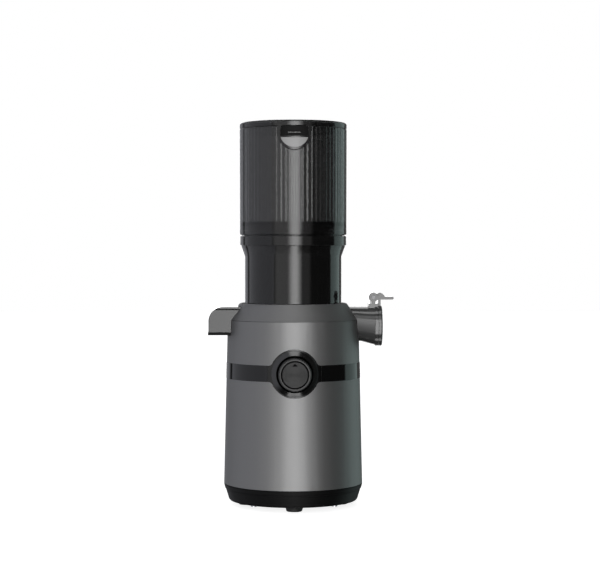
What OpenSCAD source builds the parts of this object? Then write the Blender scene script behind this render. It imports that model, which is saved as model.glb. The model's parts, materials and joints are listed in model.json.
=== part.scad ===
// Cold press juicer: a motor base with a selector knob, a drum that lifts off with its auger,
// strainer and outlets, a hopper that lifts off the drum, and a lid hinged at the rear.
// The origin is on the vertical axis at the floor. -Y is the front, +X the juice spout side.

/* [Feet and base] */
// Free height under the base
foot_h = 6.7; // [5:0.1:9]
// Largest radius of a rubber foot
foot_r = 10.5; // [8:0.5:12]
// How far the feet's centres are inside the base ring's lower edge
foot_inset = 20; // [20:1:26]
// Height of the black base ring
base_h = 20.3; // [17:0.1:26]
// How far the base ring's lower edge is inside the body's lower edge
base_inset = 7; // [5:0.1:8]
// Thickness of the bottom plate and of the base ring's inner flange
plate_t = 3; // [2.5:0.1:3.5]

/* [Body shell] */
// Radius of the body at its upper edge
body_top_r = 78.5; // [78:0.1:80]
// How much wider the body is at its lower edge
body_taper = 4.5; // [3:0.1:7]
// Height of the body shell
body_h = 195; // [190:1:215]
// Wall of the body shell
body_wall = 2.6; // [2:0.1:3]
// Height of the shoulder ring above the body
shoulder_h = 20; // [19:0.5:24]
// Gap between the drum and the shoulder's inner lip
shoulder_gap = 4.2; // [3.5:0.1:5]

/* [Band and selector knob] */
// Height of the glossy band
band_h = 18.8; // [14:0.1:22]
// How far the band stands proud of the body
band_proud = 0.5; // [0.4:0.1:1]
// Depth of the knob's centre below the body's upper edge
knob_drop = 59.7; // [55:0.1:66]
// Radius of the bezel
bezel_r = 27; // [25.5:0.5:29]
// Radius of the bezel's recess
bezel_recess_r = 21.5; // [20.5:0.1:22.5]
// How far the bezel stands out from the body
bezel_h = 6.2; // [5:0.1:8]
// Radius of the knob
knob_r = 19.1; // [17.5:0.1:19.8]
// Length of the knob
knob_h = 13.8; // [11:0.1:17]
// Radius of the switch spindle
spindle_r = 3; // [2.5:0.1:3.5]

/* [Drum] */
// Outer radius of the drum
drum_r = 57.9; // [57:0.1:58.4]
// Wall of the drum
drum_wall = 2.8; // [2:0.1:3.2]
// Depth of the drum's underside below the body's upper edge
drum_sink = 26; // [25.5:0.1:27]
// Height of drum that shows between the shoulder and the collar
drum_show_h = 69; // [66:0.5:76]
// Height of the flare under the collar
flare_h = 13; // [11:0.5:15]
// How far the collar stands out from the drum
collar_step = 5.7; // [5.2:0.1:6.6]
// Height of the collar
collar_h = 11.3; // [10.5:0.1:14]
// Thickness of the drum floor
floor_t = 3; // [2.5:0.1:3.5]

/* [Juice spout and cap] */
// Reach of the spout's end flange beyond the body's upper edge
spout_reach = 19.5; // [17.5:0.5:25]
// Height of the spout at its end
spout_end_h = 47; // [44:0.5:48]
// Angle of the spout's flare, the slope of its underside
spout_slope = 15; // [13:0.5:16]
// Wall of the spout
spout_wall = 2.4; // [1.8:0.1:2.8]
// Thickness of the end flange
flange_t = 3.3; // [2.5:0.1:4]
// How far the end flange and the cap stand out from the spout
flange_lip = 1.1; // [0.8:0.1:2.5]
// Thickness of the cap
cap_t = 4.6; // [3.5:0.1:6]
// Radius of the cap's hinge knuckle
knuckle_r = 5.6; // [5:0.1:6]
// Radius of the cap's hinge pin
cap_pin_r = 1.9; // [1.5:0.1:2.2]
// Length of the cap's lever
lever_len = 18.8; // [16:0.1:26]

/* [Pulp chute] */
// Reach of the chute beyond the body's upper edge
chute_reach = 22.5; // [20.5:0.5:27.5]
// Half width of the chute
chute_half_w = 25; // [22:0.5:26]
// Height of the chute
chute_h = 33.5; // [31:0.5:33.5]
// Radius of the chute's outer corner
chute_corner_r = 17; // [12:0.5:20]
// Wall of the chute
chute_wall = 2.4; // [2:0.1:2.8]

/* [Strainer and auger] */
// Outer radius of the strainer frame
strainer_r = 43; // [42:0.1:44]
// Depth of the strainer frame's ribs
strainer_rib = 3.2; // [2.6:0.1:3.6]
// Thickness of the strainer screen
screen_t = 0.8; // [0.6:0.1:1]
// Number of slots round the screen
slot_count = 36; // [24:36]
// Width of each slot
slot_w = 1; // [0.6:0.1:1.2]
// Gap between the auger's flight and the screen
auger_gap = 1; // [0.6:0.1:1.6]
// Turns of the auger's flight
auger_turns = 1.5; // [1:0.25:2]
// Width across the flats of the drive hexagon
hex_flats = 12; // [10:0.1:12.4]

/* [Hopper and lid] */
// Height of the hopper above the collar
hopper_h = 126; // [110:1:150]
// How far the hopper's rim stands out from the collar
hopper_step = 0.6; // [0.2:0.1:2.4]
// Wall of the hopper
hopper_wall = 2.6; // [2.2:0.1:3]
// Number of flutes inside the hopper
flute_count = 72; // [48:90]
// Depth of the flutes
flute_depth = 0.7; // [0.4:0.1:0.8]
// Gap between the collar and the hopper
hopper_gap = 1.2; // [0.8:0.1:2]
// Radius of the feed throat
throat_r = 38; // [37:0.5:38.5]
// Height of the lid
lid_h = 7.5; // [6.5:0.1:10]
// Radius of the half-moon finger tab
tab_r = 20; // [16:0.1:22]
// Thickness of the finger tab
tab_t = 2.4; // [2:0.1:3]

/* [Motor and gears] */
// Radius of the motor can
motor_r = 33; // [32:0.5:36]
// Length of the motor can
motor_len = 63; // [60:1:70]
// Radius of the motor shaft
motor_shaft_r = 2.5; // [2:0.1:2.8]
// Radius of the output shaft
output_shaft_r = 7.2; // [7.2:0.1:7.6]
// Module of the first gear pair
module_1 = 1; // [0.9:0.05:1]
// Face width of the first gear
gear_1_w = 8; // [7:0.5:8]
// Face width of the output gear
gear_2_w = 10; // [9:0.5:11]

/* [Clearances] */
// Gap between parts that separate or move past each other
part_gap = 0.3; // [0.3:0.05:0.4]
// Radial clearance of a running fit
run_fit = 0.05; // [0.03:0.01:0.09]
// Gap round the outlets where they pass through the body
outlet_gap = 0.8; // [0.6:0.1:1.2]

/* [Cord inlet] */
// Bore radius of the cord gland
gland_bore_r = 3.6; // [3:0.1:4]
// Outer radius of the gland's flange
gland_flange_r = 10; // [9.5:0.5:11]

/* [Hidden] */

// Colours
metal_grey = "#767676";
gloss_black = "#242424";
rubber_black = "#1a1a1a";
smoke_grey = "#6e6e6e";
steel = "#b8b8b8";
copper = "#b06a3a";
white_plastic = "#d8d8d4";

$fn = 96;
eps = 0.01;
cut = 1;

// Radii and reaches that follow the driving sizes above
body_bottom_r = body_top_r + body_taper;
base_foot_r = body_bottom_r - base_inset;
foot_circle_r = base_foot_r - foot_inset;
shoulder_lip_r = drum_r + shoulder_gap;
collar_r = drum_r + collar_step;
hopper_r = collar_r + hopper_step;
spout_x = body_top_r + spout_reach;
chute_x = body_top_r + chute_reach;
cap_r = spout_end_h / 2 + flange_lip;
knob_lift = body_h - knob_drop;

// Levels of the base and body
z_base = foot_h;
z_flange = z_base + plate_t;
z_body = z_base + base_h;
z_crease = z_body + body_h;
z_rim = z_crease + shoulder_h;
knob_z = z_body + knob_lift;

// Levels of the drum, collar, hopper and lid
z_drum = z_crease - drum_sink;
z_floor = z_drum + floor_t;
z_collar = z_rim + drum_show_h;
z_flare = z_collar - flare_h;
z_collar_top = z_collar + collar_h;
z_hopper = z_collar_top + hopper_gap;
z_hopper_top = z_hopper + hopper_h;
z_lid = z_hopper_top + part_gap;
z_lid_top = z_lid + lid_h;

// Deck that closes the motor space under the drum
drum_foot_h = 6.7;
deck_t = 5;
deck_rim_gap = 0.5;
z_deck_top = z_drum - drum_foot_h;
z_deck = z_deck_top - deck_t;
deck_r = body_top_r - body_wall - deck_rim_gap;
ledge_r = deck_r - 6.4;
ledge_h = 6;
boss_r = 18;
boss_h = 4;
seal_r = 12;
seal_depth = 2.5;
deck_screw_r = deck_r - 3.2;
deck_screw_len = 9.5;

// Screws and feet
screw_r = 2;
screw_head_r = 3.6;
screw_head_h = 2.4;
screw_hole_r = 2.3;
head_hole_r = 4.2;
base_screw_inset = 9;
base_screw_circle_r = base_foot_r - base_screw_inset;
base_screw_len = 20;
base_flange_r = base_screw_circle_r - 4;
foot_stem_r = 3.5;
foot_lip = 1.4;
foot_lip_h = 3;
post_r = 4.4;
post_h = 40;
post_rib_t = 3;
post_rib_w = body_r_at(z_body + post_h) - body_wall / 2 - base_screw_circle_r;
post_hole_h = 22;
air_slot_pitch = 8;
air_slot_w = 3;

// Gear train: motor and output shaft on the axis, idler behind it
pinion_teeth = 10;
gear_1_teeth = 50;
gear_2_teeth = 40;
module_2 = 2 * module_1 * (pinion_teeth + gear_1_teeth) / (2 * (pinion_teeth + gear_2_teeth));
gear_span = module_1 * (pinion_teeth + gear_1_teeth) / 2;
pressure_angle = 20;
profile_shift = 0.45;
backlash = 0.1;
gearbox_drop = 51;
z_case = z_deck - gearbox_drop;
case_floor_t = 4;
case_wall = 3;
case_inner_r = gear_span - 2;
case_outer_r = case_inner_r + case_wall;
gear_end_gap = 1;
z_gear_1 = z_case + case_floor_t + gear_end_gap;
z_pinion_2 = z_gear_1 + gear_1_w;
z_gear_2 = z_pinion_2 + 2.5;
pinion_2_w = gear_2_w + 4;
case_h = 30;
z_cover = z_case + case_h;
cover_t = 4;
tower_r = 14;
tower_h = 13;
bush_r = 10.5;
axle_r = 3;
column_x = case_outer_r + 8;
cover_boss_r = 4;
column_r = 5;
damper_h = 3;
damper_r = 6.5;
pinion_hole_r = module_1 * (pinion_teeth / 2 + 1 + profile_shift) + 0.6;
pinion_hub_r = module_2 * (pinion_teeth / 2 - 1.25 + profile_shift);

// Motor, hung under the gearbox
can_wall = 1.8;
motor_screw_x = 20;
case_screw_len = 10;
case_hole_h = case_screw_len + 2;
column_hole_h = 10;
can_top_t = 2;
z_can = z_case - motor_len;
end_cap_h = 14;
z_end_cap = z_can - end_cap_h;
bearing_r = 8;
bearing_h = 5;
boss_wall = 2.5;
rotor_r = 24.5;
rotor_h = 42;
z_rotor = z_can + 8;
air_gap = 0.8;
magnet_h = 46;
fan_r = 29;
fan_h = 12;
fan_blades = 9;
fan_blade_t = 1.6;
fan_disc_t = 1.6;
fan_hub_r = 7;
z_fan = z_end_cap - 2 - fan_h;
shaft_top = z_gear_1 + gear_1_w + 1.2;
brush_slot = 8;
brush_len = 13;
brush_x = 20;
commutator_r = 9;
commutator_h = 9.5;
z_commutator = z_end_cap + bearing_h + 1;

// Selector
front_y = body_r_at(knob_z);
bezel_floor = 2.6;
bezel_lip_w = 0.8;
plate_r = bezel_r + 1.5;
fillet_r = 5.5;
fillet_z = band_h / 2 + fillet_r;
fillet_x = sqrt(pow(plate_r + fillet_r, 2) - pow(fillet_z, 2));
plate_half_w = fillet_x + 0.4;
plate_seam = 0.4;
switch_half_w = 13;
switch_depth = 18;
switch_neck_r = 9;
switch_bush_r = 4.9;
nut_h = 2;
knob_wall = 2.2;
knob_rim_w = 3;
insert_t = 1.4;
insert_gap = 0.5;
insert_r = knob_r - knob_rim_w - insert_gap;
knob_start = bezel_floor + part_gap + 0.2;
knob_end = knob_start + knob_h;

// Outlets
spout_half_angle = spout_slope / 2;
z_outlet_top = z_rim - 4;
spout_apex_x = spout_x - spout_end_h / tan(spout_slope);
spout_z = z_outlet_top - spout_end_h / 2;
bore_end_r = spout_end_h / 2 - spout_wall - 0.6;
z_chute = z_outlet_top - chute_h;
chute_floor_t = 3.5;
duct_top = z_floor + 32.5;
duct_half_w = chute_half_w - chute_wall - 2;
duct_wall = 2.4;

// Cap hinge
hinge_x = spout_x + flange_t - knuckle_r;
hinge_z = z_outlet_top + 11;
x_cap = spout_x + flange_t + part_gap;
knuckle_half_w = 5.5;
ear_t = 3.2;
ear_gap = 0.5;
ear_neck_w = 5;
hinge_pad_gap = 2;
z_pad = hinge_z - knuckle_r - hinge_pad_gap;
z_pad_foot = z_outlet_top - 3;
ear_y = knuckle_half_w + ear_gap;
lever_t = 3.6;
lever_root_r = 8.6;
lever_x = x_cap + lever_len;
cap_seal_w = 4.4;

// Hub, auger and strainer
hub_r = 12.5;
hub_bore_r = 9.5;
hub_h = 13;
screen_r = strainer_r - strainer_rib - run_fit;
screen_inner_r = screen_r - screen_t;
auger_r = screen_inner_r - auger_gap;
z_strainer = z_floor + part_gap;
z_strainer_top = z_flare + 1;
z_slots = z_strainer + 36;
z_auger = z_floor + 2;
auger_skirt_h = 5;
auger_tip_h = 16;
auger_pin_h = 15;
z_auger_core = z_auger + auger_skirt_h;
core_low_r = 30;
core_top_r = 15;
pin_r = 4;
z_auger_nose = z_strainer_top - 1;
socket_r = 11;
socket_h = 20;
z_socket = z_auger + hub_h - 1;
hex_gap = 0.15;
hex_top = z_socket + socket_h - 5;
foot_ring_r = drum_r - 1.9;
foot_ring_w = 3;
magnet_r = 4;
magnet_y = foot_ring_r - foot_ring_w - 8;

// Collar joint and hopper
skirt_r = collar_r - 4.7;
skirt_wall = 2.4;
collar_bore_r = skirt_r + 0.9;
z_step = z_collar - 3;
z_skirt = z_step + part_gap;
lug_w = 10;
lug_h = 3;
lug_reach = 1.8;
z_lug = z_collar + 2.4;
gasket_h = 3;
seat_r = collar_r - 1.8;
z_gasket = z_collar_top - 5.5;
hopper_floor_h = 15.5;
funnel_drop = 8;
throat_wall = 2.4;
hub_bush_r = 9;
hopper_bore_r = hopper_r - hopper_wall - flute_depth / 2;

// Lid hinge
lid_pin_r = 1.6;
lid_hinge_y = hopper_r + 4.2;
lid_hinge_z = z_hopper_top - 0.5;
lid_knuckle_r = 3.4;
centre_knuckle_w = 15;
side_knuckle_w = 8;
lid_plug_r = hopper_bore_r - 1.2;
tab_z = z_lid - 8.2;
tab_rim_w = 3;
tab_ledge_drop = 4.9;
tab_r_in = hopper_r + 0.5;

// Cord gland and control board, which stands on edge beside the motor
gland_z = z_body + 20;
gland_neck_w = 13;
gland_len = 14;
gland_lip_w = 8;
gland_proud = 4;
board_t = 1.6;
board_w = 60;
board_h = 80;
board_x = base_foot_r - 26;
z_board = z_flange + 4;
board_clip_y = 22;
board_clip_w = 10;
board_clip_t = 7;
board_clip_h = 12;

// Components on the board, placed from its middle and its lower edge
capacitor_at = [board_w / 2 - 16, board_h - 18];
capacitor_r = 8;
capacitor_h = 16;
relay_at = [6 - board_w / 2, board_h - 24];
relay_w = 19;
relay_l = 15;
relay_h = 10;
rectifier_w = 14;
rectifier_l = 6;
rectifier_h = 12;
rectifier_at = [board_w / 2 - 12 - rectifier_w, board_h / 2 - rectifier_l];
sink_w = 14;
sink_l = 24;
sink_h = 12;
sink_fin = 3;
sink_slot = 4;
sink_pitch = sink_fin + sink_slot;
sink_at = [8 - board_w / 2, board_h / 2 - sink_l + 6];
terminals_w = 26;
terminals_l = 8;
terminals_h = 9;
terminals_at = [board_w / 2 - 6 - terminals_w, 2 * terminals_l];

function spout_half_w(x) = (x - spout_apex_x) * tan(spout_slope) / 2;

function body_r_at(z) = body_bottom_r + (body_top_r - body_bottom_r) * (z - z_body) / body_h;

// Straight tube on the vertical axis
module tube(r_out, r_in, h, z)
    difference() {
        rod(r_out, h, z);
        rod(r_in, h + 2 * cut, z - cut);
    }

// Solid rod on the vertical axis
module rod(r, h, z) translate([0, 0, z]) cylinder(r = r, h = h);

// Places children round the axis
module around(n, r, start = 0)
    for (i = [0:n - 1]) rotate(start + i * 360 / n) translate([r, 0, 0]) children();

// Turns +Z to +X, +Y or -Y
module facing_right(x) translate([x, 0, 0]) rotate([0, 90, 0]) children();
module facing_back(y, z) translate([0, y, z]) rotate([-90, 0, 0]) children();
module facing_front(z) translate([0, -front_y, z]) rotate([90, 0, 0]) children();

// Solid cone of the body's outer surface
module body_cone(grow, z0, z1)
    translate([0, 0, z0]) cylinder(r1 = body_r_at(z0) + grow, r2 = body_r_at(z1) + grow, h = z1 - z0);

// Pan-head screw along +Z with its head at the bottom
module screw(length) {
    cylinder(r = screw_head_r, h = screw_head_h);
    cylinder(r = screw_r, h = length);
}

// ---------------------------------------------------------------- base

module base_screw_places() around(4, base_screw_circle_r, 45) children();

module deck_screw_places() around(4, deck_screw_r, 45) children();

module column_places()
    for (x = [-column_x, column_x], y = [0, gear_span]) translate([x, y, 0]) children();

module body_housing() color(metal_grey)
    difference() {
        union() {
            difference() {
                body_cone(0, z_body, z_crease);
                body_cone(-body_wall, z_body - cut, z_crease + cut);
            }
            // Ledge that carries the deck
            difference() {
                body_cone(-body_wall / 2, z_deck - ledge_h, z_deck);
                rod(ledge_r, ledge_h + 2 * cut, z_deck - ledge_h - cut);
            }
            // Posts for the base screws, each with a rib to the wall
            base_screw_places() {
                rod(post_r, post_h, z_flange + plate_t);
                translate([0, -post_rib_t / 2, z_body + 7])
                    cube([post_rib_w, post_rib_t, post_h / 2]);
            }
        }
        base_screw_places() rod(screw_r, post_hole_h, z_flange);
        deck_screw_places() rod(screw_r, ledge_h + 2 * cut, z_deck - ledge_h - cut);
        spout_passage();
        chute_passage();
        facing_front(knob_z) rod(switch_bush_r + 0.2, 20, -10);
        gland_neck(run_fit, body_bottom_r + cut);
    }

// U-shaped notches, open at the top, that the outlets drop into
module spout_passage() {
    spout_cone(outlet_gap);
    half_w = spout_half_w(body_top_r) + outlet_gap;
    z_wide = z_outlet_top - spout_half_w(body_top_r);
    translate([drum_r, -half_w, z_wide]) cube([spout_x - drum_r, 2 * half_w, z_crease - z_wide + cut]);
}

module chute_passage()
    translate([-chute_x, -chute_half_w - outlet_gap, z_chute - outlet_gap])
        cube([chute_x - drum_r, 2 * (chute_half_w + outlet_gap), z_crease - z_chute + outlet_gap + cut]);

module base_ring() color(rubber_black) {
    spigot_r = body_bottom_r - body_wall - part_gap;
    difference() {
        rotate_extrude() polygon([
            [base_foot_r - 3.5, z_base], [base_foot_r, z_base], [base_foot_r + 1.4, z_base + 1.8],
            [body_bottom_r - 2.2, z_body - 7.3], [body_bottom_r - 2.2, z_body - 6.6],
            [body_bottom_r - 1.2, z_body - 5.9], [body_bottom_r - 0.2, z_body - 2.2],
            [body_bottom_r, z_body - 0.8], [body_bottom_r - 0.8, z_body - 0.7],
            [body_bottom_r - 0.8, z_body], [spigot_r, z_body], [spigot_r, z_body + 5],
            [spigot_r - 2.4, z_body + 5], [spigot_r - 2.4, z_flange + plate_t],
            [base_flange_r, z_flange + plate_t], [base_flange_r, z_flange],
            [base_foot_r - 3.5, z_flange]]);
        base_screw_places() rod(screw_hole_r, plate_t + 2 * cut, z_flange - cut);
    }
}

module foot_places() around(4, foot_circle_r, 0) children();

module board_clip_places() for (y = [-board_clip_y, board_clip_y]) translate([-board_x, y, 0]) children();

module bottom_plate() color(rubber_black)
    difference() {
        union() {
            rod(base_foot_r - 3.5 - part_gap, plate_t, z_base);
            board_clip_places() translate([-(board_clip_t + board_t) / 2, -board_clip_w / 2, z_base])
                cube([board_clip_t, board_clip_w, board_clip_h]);
        }
        board_clip_places() translate([-board_t - run_fit, -board_clip_w / 2 - cut, z_board])
            cube([board_t + 2 * run_fit, board_clip_w + 2 * cut, board_clip_h]);
        foot_places() rod(foot_stem_r + run_fit, plate_t + 2 * cut, z_base - cut);
        base_screw_places() rod(screw_hole_r, plate_t + 2 * cut, z_base - cut);
        // Air slots under the fan
        for (i = [-4:4]) translate([i * air_slot_pitch - air_slot_w / 2, -26, z_base - cut])
            cube([air_slot_w, 34, plate_t + 2 * cut]);
    }

module feet() color(rubber_black)
    foot_places() {
        rotate_extrude() polygon([
            [0, 0], [foot_r - 4.5, 0], [foot_r - 2.2, 0.8], [foot_r - 0.8, 2.8], [foot_r, foot_h - 1],
            [foot_r, foot_h], [foot_stem_r, foot_h], [foot_stem_r, z_flange],
            [foot_stem_r + foot_lip, z_flange],
            [foot_stem_r, z_flange + foot_lip_h], [0, z_flange + foot_lip_h]]);
    }

module base_screws() color(steel)
    base_screw_places() translate([0, 0, z_base - screw_head_h]) screw(base_screw_len);

// ---------------------------------------------------------------- band and selector

// Outline of the front plate: the band with concave fillets swelling into the round bezel
module plate_outline() {
    square([2 * plate_half_w - plate_seam, band_h], center = true);
    circle(r = plate_r);
    for (side = [-1, 1], level = [-1, 1])
        difference() {
            translate([side * fillet_x / 2, level * fillet_z / 2])
                square([fillet_x, fillet_z], center = true);
            translate([side * fillet_x, level * fillet_z]) circle(r = fillet_r);
        }
}

module band_shell(height)
    difference() {
        body_cone(band_proud, knob_z - height / 2, knob_z + height / 2);
        body_cone(run_fit, knob_z - height / 2 - cut, knob_z + height / 2 + cut);
    }

module band() color(gloss_black)
    difference() {
        band_shell(band_h);
        translate([-plate_half_w, -body_bottom_r - 5, knob_z - band_h])
            cube([2 * plate_half_w, body_bottom_r, 2 * band_h]);
    }

module selector_plate() color(gloss_black)
    intersection() {
        band_shell(2 * bezel_r + 8);
        facing_front(knob_z) translate([0, 0, -front_y / 2])
            linear_extrude(height = front_y) difference() {
                plate_outline();
                circle(r = bezel_r + run_fit);
            }
    }

module knob_bezel() color(gloss_black)
    difference() {
        facing_front(knob_z) rotate_extrude() polygon([
            [switch_bush_r + 0.1, -8], [bezel_r, -8], [bezel_r, 1.4],
            [bezel_recess_r + bezel_lip_w, bezel_h],
            [bezel_recess_r, bezel_h], [bezel_recess_r, bezel_floor],
            [switch_bush_r + 0.1, bezel_floor]]);
        body_cone(run_fit, knob_z - 2 * bezel_r, knob_z + 2 * bezel_r);
    }

module selector_switch() color(white_plastic)
    facing_front(knob_z) difference() {
        union() {
            translate([-switch_half_w, -switch_half_w, -6 - switch_depth])
                cube([2 * switch_half_w, 2 * switch_half_w, switch_depth]);
            rod(switch_neck_r, 6 - body_wall - 0.6, -6 - eps);
            rod(switch_bush_r, 6 + bezel_floor + nut_h + 0.4, -6);
        }
        rod(spindle_r + run_fit, 2 * switch_depth + 10, -8 - switch_depth);
    }

module switch_nut() color(steel)
    facing_front(knob_z) translate([0, 0, bezel_floor]) difference() {
        cylinder(r = 7.4, h = nut_h, $fn = 6);
        rod(switch_bush_r + run_fit, nut_h + 2 * cut, -cut);
    }

module control_knob() color(gloss_black)
    facing_front(knob_z) difference() {
        rotate_extrude() polygon([
            [0, knob_start + 4], [knob_r - knob_wall, knob_start + 4], [knob_r - knob_wall, knob_start],
            [knob_r, knob_start], [knob_r, knob_end - 1.6], [knob_r - 0.5, knob_end - 0.5],
            [knob_r - 1.6, knob_end], [insert_r + insert_gap, knob_end],
            [insert_r + insert_gap, knob_end - insert_t], [0, knob_end - insert_t]]);
        rod(spindle_r + run_fit / 2, knob_h - insert_t - 1, knob_start - cut);
    }

module knob_insert() color("#444444")
    facing_front(knob_z) difference() {
        rod(insert_r, insert_t, knob_end - insert_t);
        // Pointer mark, sunk into the face
        translate([0, insert_r - 3.4, knob_end - 0.3]) linear_extrude(height = cut)
            polygon([[-2.5, -0.9], [2.5, -0.9], [0, 0.9]]);
    }

module switch_spindle() color(steel)
    facing_front(knob_z) rod(spindle_r, 8 + switch_depth + knob_end - insert_t - 2.5, -8 - switch_depth);

// ---------------------------------------------------------------- deck and interlock

module deck() color(gloss_black)
    difference() {
        union() {
            rod(deck_r, deck_t, z_deck);
            rod(boss_r, deck_t + boss_h, z_deck);
        }
        rod(output_shaft_r + 0.8, deck_t + boss_h + 2 * cut, z_deck - cut);
        rod(seal_r, deck_t + boss_h, z_deck + seal_depth);
        deck_screw_places() deck_screw_hole();
        column_places() deck_screw_hole();
    }

module deck_screw_hole() {
    rod(screw_hole_r, deck_t + 2 * cut, z_deck - cut);
    rod(head_hole_r, screw_head_h + cut, z_deck_top - screw_head_h - part_gap);
}

module deck_screws() color(steel) {
    deck_screw_places() deck_screw();
    column_places() deck_screw();
}

module deck_screw()
    translate([0, 0, z_deck_top - part_gap]) rotate([180, 0, 0]) screw(deck_screw_len);

module shaft_seal() color(rubber_black)
    tube(seal_r - run_fit, output_shaft_r + run_fit, deck_t + boss_h - seal_depth, z_deck + seal_depth);

module mount_dampers() color(rubber_black)
    column_places() tube(damper_r, screw_hole_r, damper_h, z_deck - damper_h);

module reed_switch() color(white_plastic)
    translate([-8, -magnet_y - 3, z_deck - 4]) cube([16, 6, 4]);

// ---------------------------------------------------------------- cord gland and board

// Square neck, grown by gap all round, that keeps the gland from turning in the wall
module gland_neck(gap, y_end)
    translate([-gland_neck_w / 2 - gap, y_end - gland_len, gland_z - gland_neck_w / 2 - gap])
        cube([gland_neck_w + 2 * gap, gland_len + 2 * gap, gland_neck_w + 2 * gap]);

module cord_gland() color(rubber_black) {
    y_wall = body_r_at(gland_z);
    difference() {
        union() {
            gland_neck(0, y_wall);
            difference() {
                facing_back(y_wall - gland_lip_w, gland_z)
                    cylinder(r = gland_flange_r, h = gland_lip_w + gland_proud);
                body_cone(run_fit, gland_z - 2 * gland_flange_r, gland_z + 2 * gland_flange_r);
            }
            // Inner lip that keeps the gland in the wall
            facing_back(y_wall - gland_len, gland_z)
                cylinder(r = gland_flange_r, h = gland_len - body_wall - 1.2);
        }
        facing_back(y_wall - gland_len - cut, gland_z)
            cylinder(r = gland_bore_r, h = gland_len + gland_proud + 2 * cut);
    }
}

// Places children on the board's outer face: X runs forward, Y up and Z outward
module on_board() translate([-board_x, 0, z_board]) rotate([90, 0, -90]) children();

module control_board() color("#2f6b45")
    on_board() translate([-board_w / 2, 0, 0]) cube([board_w, board_h, board_t]);

// Smoothing capacitor, relay, rectifier, heat sink and terminal block
module board_components() color("#3a3a3a")
    on_board() translate([0, 0, board_t]) {
        translate(capacitor_at) cylinder(r = capacitor_r, h = capacitor_h);
        translate(relay_at) cube([relay_w, relay_l, relay_h]);
        translate(rectifier_at) cube([rectifier_w, rectifier_l, rectifier_h]);
        translate(sink_at) difference() {
            cube([sink_w, sink_l, sink_h]);
            for (i = [0:2]) translate([-cut, sink_fin + sink_pitch * i, sink_slot])
                cube([sink_w + 2 * cut, sink_slot, sink_h]);
        }
        translate(terminals_at) cube([terminals_w, terminals_l, terminals_h]);
    }

// ---------------------------------------------------------------- gearbox

// Outline shared by the gearbox case and its cover
module case_outline(r) {
    circle(r = r);
    translate([0, gear_span]) circle(r = r);
    translate([-r, 0]) square([2 * r, gear_span]);
}

module cover_screw_places()
    for (a = [210, 330]) {
        rotate(a) translate([case_outer_r + 1.5, 0, 0]) children();
        translate([0, gear_span, 0]) rotate(a - 180) translate([case_outer_r + 1.5, 0, 0]) children();
    }

// Outline with a boss at each cover screw
module flange_outline() {
    case_outline(case_outer_r);
    cover_screw_places() circle(r = cover_boss_r);
}

module motor_screw_places() for (x = [-motor_screw_x, motor_screw_x]) translate([x, 0, 0]) children();

module gearbox_case() color("#9aa0a4")
    difference() {
        union() {
            translate([0, 0, z_case]) linear_extrude(height = case_h) flange_outline();
            column_places() {
                rod(column_r, gearbox_drop - damper_h, z_case);
            }
            for (x = [-column_x, case_outer_r - 2], y = [0, gear_span])
                translate([x, y - 2.5, z_case]) cube([column_x - case_outer_r + 2, 5, case_h]);
        }
        translate([0, 0, z_case + case_floor_t]) linear_extrude(height = case_h)
            case_outline(case_inner_r);
        rod(pinion_hole_r, case_floor_t + 2 * cut, z_case - cut);
        translate([0, gear_span, z_case + 1]) cylinder(r = axle_r, h = case_floor_t);
        motor_screw_places() {
            rod(screw_hole_r, case_floor_t + 2 * cut, z_case - cut);
            rod(head_hole_r, screw_head_h + cut, z_case + case_floor_t - screw_head_h);
        }
        cover_screw_places() rod(screw_r, case_hole_h + cut, z_cover - case_hole_h);
        column_places() rod(screw_r, column_hole_h + cut, z_deck - damper_h - column_hole_h);
    }

module gearbox_cover() color("#9aa0a4")
    difference() {
        union() {
            translate([0, 0, z_cover]) linear_extrude(height = cover_t) flange_outline();
            rod(tower_r, cover_t + tower_h, z_cover);
        }
        rod(bush_r, cover_t + tower_h + 2 * cut, z_cover - cut);
        translate([0, gear_span, z_cover - cut]) cylinder(r = axle_r, h = 3 + cut);
        cover_screw_places() rod(screw_hole_r, cover_t + 2 * cut, z_cover - cut);
    }

module case_screws() color(steel) {
    cover_screw_places() translate([0, 0, z_cover + cover_t + screw_head_h]) rotate([180, 0, 0])
        screw(case_screw_len);
    motor_screw_places() translate([0, 0, z_case + case_floor_t]) rotate([180, 0, 0])
        screw(case_screw_len);
}

module output_bearing() color("#b5895a")
    tube(bush_r, output_shaft_r + run_fit, cover_t + tower_h, z_cover);

module idler_axle() color(steel)
    translate([0, gear_span, z_case + 1]) cylinder(r = axle_r, h = case_h + 1.8);

// Involute spur gear. turn shifts it by a part of a tooth so that it meshes.
function roll_angle(base_r, r) = sqrt(max(0, pow(r / base_r, 2) - 1)) * 180 / PI;
function involute(base_r, r) = roll_angle(base_r, r) - atan(roll_angle(base_r, r) * PI / 180);

function unit_at(a) = [cos(a), sin(a)];

module spur_outline(m, teeth, shift) {
    pitch_r = m * teeth / 2;
    base_r = pitch_r * cos(pressure_angle);
    tip_r = pitch_r + m * (1 + shift);
    root_r = pitch_r - m * (1.25 - shift);
    half_tooth = 90 / teeth + 2 * shift * tan(pressure_angle) / teeth * 180 / PI
        - backlash / 2 / pitch_r * 180 / PI;
    half_at = function(r) half_tooth + involute(base_r, pitch_r) - involute(base_r, max(r, base_r));
    steps = 4;
    radii = [for (i = [0:steps]) root_r + (tip_r - root_r) * i / steps];
    flank = function(k, side, i) radii[i] * unit_at(k * 360 / teeth + side * half_at(radii[i]));
    polygon([for (k = [0:teeth - 1]) each concat(
        [for (i = [0:steps]) flank(k, -1, i)],
        [for (i = [steps:-1:0]) flank(k, 1, i)])]);
}

module motor_pinion() color(steel)
    translate([0, 0, z_gear_1 - 0.5]) difference() {
        linear_extrude(height = gear_1_w + 1) rotate(180 / pinion_teeth)
            spur_outline(module_1, pinion_teeth, profile_shift);
        rod(motor_shaft_r, gear_1_w + 4, -cut);
    }

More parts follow.
